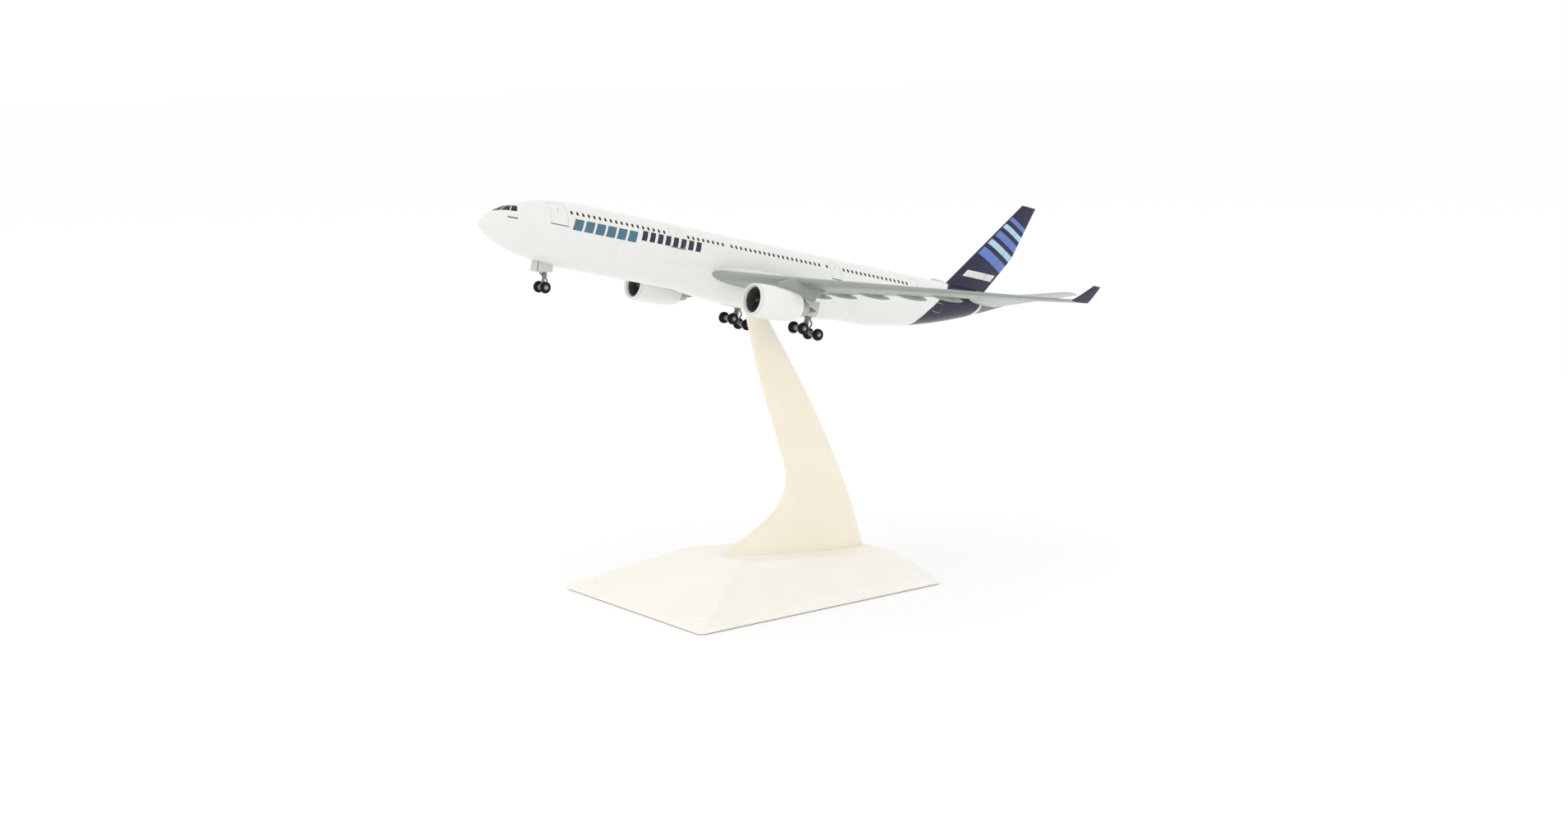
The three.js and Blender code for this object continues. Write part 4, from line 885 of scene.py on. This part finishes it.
def at_engine(mesh, side):
    return moved(mesh, (side * ENGINE[0], ENGINE[1], ENGINE[2]))


def twisted_blade(angle, hub=1.7, tip=FAN_RADIUS - 0.05):
    rings = []
    for share in np.linspace(0, 1, 7):
        radius = hub + (tip - hub) * share
        twist = math.radians(28 + 34 * share)
        chord = 1.9 + 0.5 * share
        ring = []
        for t, thick in ((-0.5, 0.0), (-0.2, 0.12), (0.2, 0.12), (0.5, 0.0), (0.2, -0.06), (-0.2, -0.06)):
            bow = 0.22 * (1 - 4 * t * t)
            along, across = t * chord, bow + thick
            y = FAN_AT + along * math.cos(twist) - across * math.sin(twist)
            x = along * math.sin(twist) + across * math.cos(twist)
            a = angle + x / radius
            ring.append((radius * math.sin(a), y, radius * math.cos(a)))
        rings.append(ring)
    return loft(rings)


cowl_outer = curve([(6.05, 0.35), (6.62, 0.0), (7.0, 1.0), (7.24, 3.6), (7.38, 8.0), (7.3, 13.0), (6.9, 18.5),
                    (5.95, COWL_LENGTH)], 60)
cowl_inner = curve([(5.62, COWL_LENGTH), (5.7, 20), (5.72, 15), (5.7, 6), (5.45, 3.2), (5.5, 1.4),
                    (6.05, 0.35)], 40)
lip_profile = curve([(5.56, 1.5), (5.76, 0.7), (6.1, 0.22), (6.55, -0.03), (6.9, 0.5), (7.12, 1.6)], 24)
for name, side in SIDES:
    cowl = turned(cowl_outer + cowl_inner, 96)
    piece(f"engine_cowl_skin_{name}", at_engine(cowl, side), COWL_WHITE, f"engine_cowl_{name}",
          sharp=50)
    lip = turned([p + (0.0, -0.02) for p in lip_profile] + [(7.06, 1.62), (6.4, 1.2), (5.56, 1.5)], 96)
    piece(f"inlet_lip_{name}", at_engine(lip, side), LIP_WHITE, sharp=50)
    liner = turned([(5.78, 1.05), (5.6, 1.7), (5.62, 3.2), (5.68, 5.0), (5.69, 9.4), (5.6, 9.4),
                    (5.52, 5.0), (5.4, 3.2), (5.42, 1.7), (5.66, 0.95), (5.78, 1.05)], 72)
    piece(f"inlet_liner_{name}", at_engine(liner, side), DUCT_DARK)
    spinner = turned([(0, 8.55), (1.0, 8.55), (2.0, 8.5), (1.95, 6.2), (1.75, 5.1), (1.35, 3.9), (0.85, 3.0),
                      (0.35, 2.55), (0, 2.45)], 40)
    blades = [twisted_blade(2 * math.pi * k / FAN_BLADES) for k in range(FAN_BLADES)]
    piece(f"fan_rotor_{name}", at_engine(merged(spinner, *blades), side), FAN_DARK, f"fan_{name}", f"{name}_fan")
    points, faces = slab((-0.11, 10.2, 2.4), (0.11, 12.4, 5.75), 0.05)
    vanes = []
    for k in range(OUTLET_VANES):
        turn = Matrix.Rotation(2 * math.pi * k / OUTLET_VANES, 3, "Y")
        vanes.append((points @ np.array(turn).T, faces))
    piece(f"outlet_vanes_{name}", at_engine(merged(*vanes), side), DUCT_DARK)
    core_profile = [(0, 9.2), (1.6, 9.2), (2.6, 9.6), (3.7, 12.0), (4.2, 15.0), (4.3, 18.0), (4.28, 22.4),
                    (3.95, 26.0), (3.3, 29.2), (3.1, 30.0), (2.72, 29.95), (2.6, 28.0), (2.5, 26.2), (0, 26.2)]
    piece(f"engine_core_skin_{name}", at_engine(turned(core_profile, 72), side), CORE_METAL,
          f"engine_core_{name}", sharp=28)
    cone_curve = curve([(1.9, 26.6), (1.82, 29.0), (1.3, 32.2), (0.62, 34.9), (0.12, 36.15)], 24)
    cone_profile = [(0, 24.2), (1.9, 24.2), *cone_curve, (0, 36.2)]
    piece(f"exhaust_cone_{name}", at_engine(turned(cone_profile, 48), side), DARK_METAL,
          f"exhaust_plug_{name}")
    nose = wing_front(ENGINE[0]) - ENGINE[1]
    wing_z = wing_height(ENGINE[0], wing_front(ENGINE[0])) - ENGINE[2]
    outline = [(14.3, 3.9), (COWL_LENGTH, 3.9), (30.0, 3.7), (nose + 11, 4.5), (nose + 17, wing_z - 3.1),
               (nose + 18, wing_z - 0.8), (nose + 1.0, wing_z + 1.2), (nose - 4, wing_z - 0.5),
               (nose - 9, wing_z - 2.4), (13.4, 7.7), (12.0, 7.2), (13.0, 6.2)]
    piece(f"engine_strut_skin_{name}", at_engine(plate(outline, 1.8, 0.0, 0.55, 3), side), WING_GREY,
          f"engine_strut_{name}", sharp=30)

# ---------------------------------------------------------------- landing gear


def wheel_meshes(radius, width):
    """Tyre with rounded shoulders and grooves, and a dished hub with bolts, about X."""
    h = width / 2
    tread = []
    for k in range(15):
        a = -1 + 2 * k / 14
        depth = 0.07 if k in (4, 7, 10) else 0.0
        tread.append((radius * (1 - 0.10 * abs(a) ** 3) - depth, a * h * 0.78))
    profile = [(0.46 * radius, -h * 0.8), (0.52 * radius, -h * 0.97), (0.74 * radius, -h)] + tread
    profile += [(0.74 * radius, h), (0.52 * radius, h * 0.97), (0.46 * radius, h * 0.8),
                (0.46 * radius, -h * 0.8)]
    tyre = turned(profile, 56, "x")
    shares = ((0, -0.84), (0.32, -0.8), (0.4, -0.55), (0.475, -0.86), (0.475, 0.86), (0.4, 0.5), (0.3, 0.76),
              (0.24, 0.98), (0, 1.02))
    hub = turned([(out * radius, along * h) for out, along in shares], 40, "x")
    bolts = []
    for k in range(8):
        a = 2 * math.pi * k / 8
        spot = (0.35 * radius * math.cos(a), 0.35 * radius * math.sin(a))
        bolts.append(rod((0, *spot), (h * 0.76, *spot), 0.09, sides=8, chamfer=0.02))
    return tyre, merged(hub, *bolts)


def wheel_set(prefix, body, centre, track, radius, width, ends):
    tyre, hub = wheel_meshes(radius, width)
    for end, sign in ends:
        shift = np.array(centre) + (sign * track / 2, 0, 0)
        piece(f"{prefix}_tyre_{end}", moved(tyre, shift), TYRE, f"{prefix}_wheel_{end}", body,
              sharp=40)
        piece(f"{prefix}_hub_{end}", moved((hub[0] * (sign, 1, 1), hub[1]), shift), HUB, body=body,
              sharp=30)
    reach = track / 2 + width / 2 + 0.3
    shaft = turned([(0, -reach), (0.42, -reach), (0.5, 0.1 - reach), (0.5, reach - 0.1), (0.42, reach),
                    (0, reach)], 24, "x")
    piece(f"{prefix}_axle_shaft", moved(shaft, centre), STEEL, f"{prefix}_axle", body)


def eye(x, station, height):
    """Round boss across X that holds an axle."""
    ring = turned([(0.8, -0.9), (1.25, -0.9), (1.4, -0.75), (1.4, 0.75), (1.25, 0.9), (0.8, 0.9),
                   (0.8, -0.9)], 32, "x")
    return moved(ring, (x, station, height))


def bars(x, at, *rows):
    """Round bars in a leg's plane; a row is both ends' place aft of the leg and height, and the radius."""
    return merged(*(rod((x, at + y0, z0), (x, at + y1, z1), radius) for y0, z0, y1, z1, radius in rows))


NOSE_AT, NOSE_LOW = 34.8, -23.5
NOSE_BELLY = belly(NOSE_AT)
DOOR_FRONT, DOOR_REAR = NOSE_AT - 4.8, NOSE_AT + 2.4
wheel_set("nose", "nose_wheels", (0, NOSE_AT, NOSE_LOW), 5.4, 2.5, 1.7, SIDES)
leg = merged(
    bars(0, NOSE_AT, (0, -10.5, 0, -18.2, 1.0), (0, -17.9, 0, -18.9, 1.25), (0, -18.6, 0, NOSE_LOW + 0.8, 0.7),
         (-0.5, -19.0, -3.2, -16.6, 0.4), (0.9, -19.0, 2.1, -20.7, 0.32), (2.1, -20.7, 0.9, -22.4, 0.32)),
    eye(0, NOSE_AT, NOSE_LOW),
    slab((-0.5, DOOR_FRONT - 0.5, -17.1), (0.5, NOSE_AT, -16.1), 0.15),
    rod((-1.0, NOSE_AT - 0.4, -18.4), (1.0, NOSE_AT - 0.4, -18.4), 0.45),
)
piece("nose_leg_strut", leg, GEAR_GREY, "nose_gear_leg", sharp=30)
drag_plate = slab((-2.2, DOOR_FRONT - 1.0, NOSE_BELLY - 3.9), (2.2, DOOR_FRONT - 0.3, NOSE_BELLY + 1.4), 0.2, 3)
piece("nose_drag_plate", drag_plate, DOOR_WHITE, sharp=30)
for name, side in SIDES:
    outline = [(DOOR_FRONT, NOSE_BELLY - 3.9), (DOOR_REAR, NOSE_BELLY - 2.8), (DOOR_REAR, NOSE_BELLY + 1.4),
               (DOOR_FRONT, NOSE_BELLY + 1.4)]
    piece(f"nose_door_skin_{name}", plate(outline, 0.7, side * 2.0, 0.2, 3), DOOR_WHITE,
          f"nose_gear_door_{name}", sharp=30)


WHEEL_REACH = 4.5  # from the bogie's middle to each axle


def on_bogie(along, up=0.0):
    """Station and height of a place on the tilted bogie, along it from its middle."""
    return (MAIN_AT + along * math.cos(BOGIE_TILT) + up * math.sin(BOGIE_TILT),
            MAIN_LOW - along * math.sin(BOGIE_TILT) + up * math.cos(BOGIE_TILT))


def tilted(mesh, x):
    """A mesh made about the bogie's middle, laid along its tilt."""
    return np.array([(x + p[0], *on_bogie(p[1], p[2])) for p in mesh[0]]), mesh[1]


for name, side in SIDES:
    x, top, low = side * MAIN_X, MAIN_TOP, MAIN_LOW
    leg = merged(
        rod((x, MAIN_AT, top + 1.6), (x, MAIN_AT, low + 5.6), 1.3, sides=28),
        rod((x, MAIN_AT, low + 6.4), (x, MAIN_AT, low + 5.1), 1.55, sides=28),
        rod((x, MAIN_AT, top - 1.2), (x, MAIN_AT, top - 2.0), 1.5, sides=28),
        rod((x, MAIN_AT, low + 5.4), (x, MAIN_AT, low + 0.2), 0.85, sides=24),
        tilted(slab((-0.75, -4.2, -0.65), (0.75, 4.2, 0.65), 0.3, 3), x),
        tilted(slab((-0.95, -1.2, -0.8), (0.95, 1.2, 1.0), 0.3, 3), x),
        eye(x, *on_bogie(-WHEEL_REACH)), eye(x, *on_bogie(WHEEL_REACH)),
        rod((x - side * 0.8, MAIN_AT, low + 8.0), (x - side * 4.6, MAIN_AT - 0.6, top + 1.2), 0.45),
        bars(x, MAIN_AT, (1.2, low + 6.0, 2.9, low + 3.4, 0.38), (2.9, low + 3.4, 1.3, low + 0.8, 0.38),
             (-0.8, low + 5.9, -2.6, low + 1.2, 0.36)),
        slab((x - 0.85, MAIN_AT - 1.9, low + 6.4), (x + 0.85, MAIN_AT + 1.9, low + 7.3), 0.25),
    )
    piece(f"main_leg_strut_{name}", leg, GEAR_GREY, f"main_gear_leg_{name}", sharp=30)
    d = side * 2.6
    outline = [(MAIN_AT + along, top - down) for along, down in
               ((-4.2, 0.4), (3.4, 0.4), (3.0, 6.0), (1.4, 7.5), (-2.2, 7.5), (-3.9, 6.0))]
    clip = sorted((x + side * 1.2, x + d))
    door = merged(plate(outline, 0.7, x + d, 0.25, 3),
                  slab((clip[0], MAIN_AT - 0.8, top - 4.4), (clip[1], MAIN_AT + 0.8, top - 2.8), 0.2))
    piece(f"main_door_skin_{name}", door, DOOR_WHITE, f"main_gear_door_{name}",
          sharp=30)
    for end, along in (("front", -WHEEL_REACH), ("rear", WHEEL_REACH)):
        wheel_set(f"main_{name}_{end}", f"{name}_{end}_main_wheels", (x, *on_bogie(along)), 7.0, 2.7, 2.5,
                  (("outer", side), ("inner", -side)))

# ---------------------------------------------------------------- stand

DECK_FRONT, DECK_REAR = (-30.6, 21.0, 18.4), (58.0, 23.5, 10.2)
SLOPE = (DECK_REAR[2] - DECK_FRONT[2]) / (DECK_REAR[0] - DECK_FRONT[0])
BASE_HALF, BASE_FRONT, BASE_REAR, BASE_CORNER = 54.5, -78.0, 60.0, 3.0
LIP_LOW, LIP_HIGH = 0.5, 2.0
FOOT_X, FEET = 44.5, (("front", -68.0), ("rear", 50.0))
SCREWS_Y = (6.0, 38.0)
BLADE_HALF = 8.4


def deck(y):
    return DECK_FRONT[2] + (y - DECK_FRONT[0]) * SLOPE


SEAT_Y, SEAT_Z = -5.3, 128.3
half_seat = PLUG[1] / 2 + 1.4
fall = -UP[1] / UP[2]
FRONT_EDGE = [(-28.5, deck(-28.5)), (-9, 26), (6.5, 36.5), (11.3, 50), (5, 72), (-4, 100),
              (SEAT_Y - half_seat, SEAT_Z - half_seat * fall)]
REAR_EDGE = ((57, deck(57)), (45, 58), (SEAT_Y + half_seat, SEAT_Z + half_seat * fall))


def lens(front, rear, half_thick, sides=72):
    ring = []
    for i in range(sides):
        a = 2 * math.pi * i / sides
        share = (1 - math.cos(a)) / 2
        sine = math.sin(a)
        x = math.copysign(abs(sine) ** 1.1, sine) * half_thick
        ring.append((x, front[0] + (rear[0] - front[0]) * share, front[1] + (rear[1] - front[1]) * share))
    return ring


fronts = curve(FRONT_EDGE, 120)
rings = []
for k, front in enumerate(fronts):
    t = k / (len(fronts) - 1)
    a, b, c = (np.array(q, float) for q in REAR_EDGE)
    rear = a * (1 - t) ** 2 + 2 * b * t * (1 - t) + c * t**2
    rings.append(lens(front, rear, BLADE_HALF + (PLUG[0] / 2 + 1.2 - BLADE_HALF) * t**0.55))
foot = [(x, y, z - 0.6) for x, y, z in rings[0]]
piece("stand_blade_skin", loft([foot] + rings), CREAM, "stand_blade", "stand", in_stand,
      sharp=50)
plug_low = (-PLUG[0] / 2, SEAT_AT - PLUG[1] / 2, PLUG_FOOT - 1)
plug_high = (PLUG[0] / 2, SEAT_AT + PLUG[1] / 2, PLUG_FOOT + PLUG[2])
piece("stand_plug", slab(plug_low, plug_high, 0.35, 3), CREAM, body="stand")


def base_shell():
    """Wedge skin, open underneath: upright lip, four faces and a deck that falls to the rear."""
    r = BASE_CORNER
    rear, front = BASE_REAR - r, BASE_FRONT + r
    arcs = []
    for sx, y, start in ((1, rear, 0), (-1, rear, 90), (-1, front, 180), (1, front, 270)):
        turns = [math.radians(start + 15 * k) for k in range(7)]
        arcs.append([np.array((sx * (BASE_HALF - r) + r * math.cos(a), y + r * math.sin(a))) for a in turns])
    tops = [(sx * x, y, z) for sx, (y, x, z) in
            ((1, DECK_REAR), (-1, DECK_REAR), (-1, DECK_FRONT), (1, DECK_FRONT))]
    points, faces, seen = [], [], {}

    def spot(p):
        key = tuple(round(float(c), 4) for c in p)
        if key not in seen:
            seen[key] = len(points)
            points.append(key)
        return seen[key]

    def fill(rows):
        """Faces between each row of points and the next."""
        for low, high in zip(rows[:-1], rows[1:]):
            for i in range(len(low) - 1):
                faces.append(tuple(spot(p) for p in (low[i], low[i + 1], high[i + 1], high[i])))

    for c, arc in enumerate(arcs):
        fill([[(*p, z) for p in arc] for z in (LIP_LOW, LIP_HIGH)])
        for near, far in zip(arc[:-1], arc[1:]):
            faces.append((spot((*near, LIP_HIGH)), spot((*far, LIP_HIGH)), spot(tops[c])))
        near, far = (*arc[6], LIP_HIGH), (*arcs[(c + 1) % 4][0], LIP_HIGH)
        fill(grid(((*arc[6], LIP_LOW), (*far[:2], LIP_LOW), far, near), 16, 1))
        fill(grid((near, far, tops[(c + 1) % 4], tops[c]), 16, 8))
    fill(grid(tops, 16, 16))
    return np.array(points), faces


base = piece("stand_base_shell", base_shell(), CREAM_BASE, "stand_base", "stand", in_stand,
             sharp=20)
modified(base, ("SOLIDIFY", {"thickness": 2.0 * MM, "offset": -1.0, "use_even_offset": True}),
         ("BEVEL", {"width": 0.7 * MM, "segments": 3, "limit_method": "ANGLE", "angle_limit": math.radians(14),
                    "use_clamp_overlap": True}))
ring = lens((FRONT_EDGE[0][0] - gap, FRONT_EDGE[0][1]), (REAR_EDGE[0][0] + gap, REAR_EDGE[0][1]),
            BLADE_HALF + gap)
cut(base, cutter(loft([[(x, y, z - 0.9) for x, y, z in ring], [(x, y, z + 3) for x, y, z in ring]]), in_stand))
base.data.polygons.foreach_set("use_smooth", [True] * len(base.data.polygons))
base.data.set_sharp_from_angle(angle=math.radians(30))
modified(base, ("WEIGHTED_NORMAL", {"keep_sharp": True, "weight": 90}))

post = turned([(0, 1.5), (4.8, 1.5), (5.0, 1.7), (5.0, 5.2), (0, 5.2)], 40, "z")
boss = turned([(1.3, -6.4), (4.0, -6.4), (4.2, -6.2), (4.2, -1.0), (1.3, -1.0), (1.3, -6.4)], 40, "z")
posts = [moved(post, (side * FOOT_X, y, 0)) for _, side in SIDES for _, y in FEET]
posts += [moved(boss, (0, y, deck(y))) for y in SCREWS_Y]
piece("base_posts", merged(*posts), CREAM_BASE, body="stand", place=in_stand)
pad = turned([(0, 0), (4.6, 0), (4.9, 0.15), (5.0, 0.4), (5.0, 0.95), (4.85, 1.15), (4.6, 1.2),
              (0, 1.2)], 48, "z")
for end, y in FEET:
    for name, side in SIDES:
        piece(f"foot_pad_{end}_{name}", moved(pad, (side * FOOT_X, y, 0)), PAD, f"foot_{end}_{name}", "stand",
              in_stand)

for node in ("blade_screw_front", "blade_screw_rear"):
    frame["nodes"][node].data.materials.clear()
    frame["nodes"][node].data.materials.append(STEEL)

# ---------------------------------------------------------------- stage, light and camera

ground = bpy.data.meshes.new("floor")
reach = 30.0
ground.from_pydata([(-reach, -reach, 0), (reach, -reach, 0), (reach, reach, 0), (-reach, reach, 0)], [],
                   [(0, 1, 2, 3)])
floor = linked("floor", ground)
ground.materials.append(plastic("floor_white", (0.99, 0.99, 0.99, 1.0), rough=0.9, relief=0.0, blotch=0.8,
                                drift=0.0, specular=0.0))

world = bpy.data.worlds.new("studio")
bpy.context.scene.world = world
world.use_nodes = True
world.node_tree.nodes["Background"].inputs["Color"].default_value = (1.0, 1.0, 1.0, 1.0)
world.node_tree.nodes["Background"].inputs["Strength"].default_value = 1.0


def softbox(name, place, target, size, power):
    light = bpy.data.lights.new(name, "AREA")
    light.shape = "SQUARE"
    light.size = size
    light.energy = power
    made = linked(name, light)
    made.location = place
    made.rotation_euler = (Vector(target) - Vector(place)).to_track_quat("-Z", "Y").to_euler()


softbox("key_light", (-0.1, -1.5, 1.3), (0, 0, 0.1), 1.0, 3.0)
softbox("fill_light", (1.5, 0.4, 1.0), (0, 0, 0.1), 1.2, 0.8)

camera_data = bpy.data.cameras.new("camera")
camera_data.lens = 47.07
camera_data.sensor_width = 36.0
camera_data.clip_start, camera_data.clip_end = 0.01, 100.0
camera = linked("camera", camera_data)
azimuth, elevation, roll = (math.radians(v) for v in (52.449, 9.253, -0.921))
level = math.cos(elevation)
back = Vector((math.sin(azimuth) * level, -math.cos(azimuth) * level, math.sin(elevation)))
right = Vector((math.cos(azimuth), math.sin(azimuth), 0))
up = back.cross(right)
right, up = math.cos(roll) * right + math.sin(roll) * up, -math.sin(roll) * right + math.cos(roll) * up
eye_point = Matrix.Translation((0.747525, -0.577513, 0.234493))
camera.matrix_world = eye_point @ Matrix((right, up, back)).transposed().to_4x4()
bpy.context.scene.camera = camera
bpy.context.scene.view_settings.view_transform = "Standard"
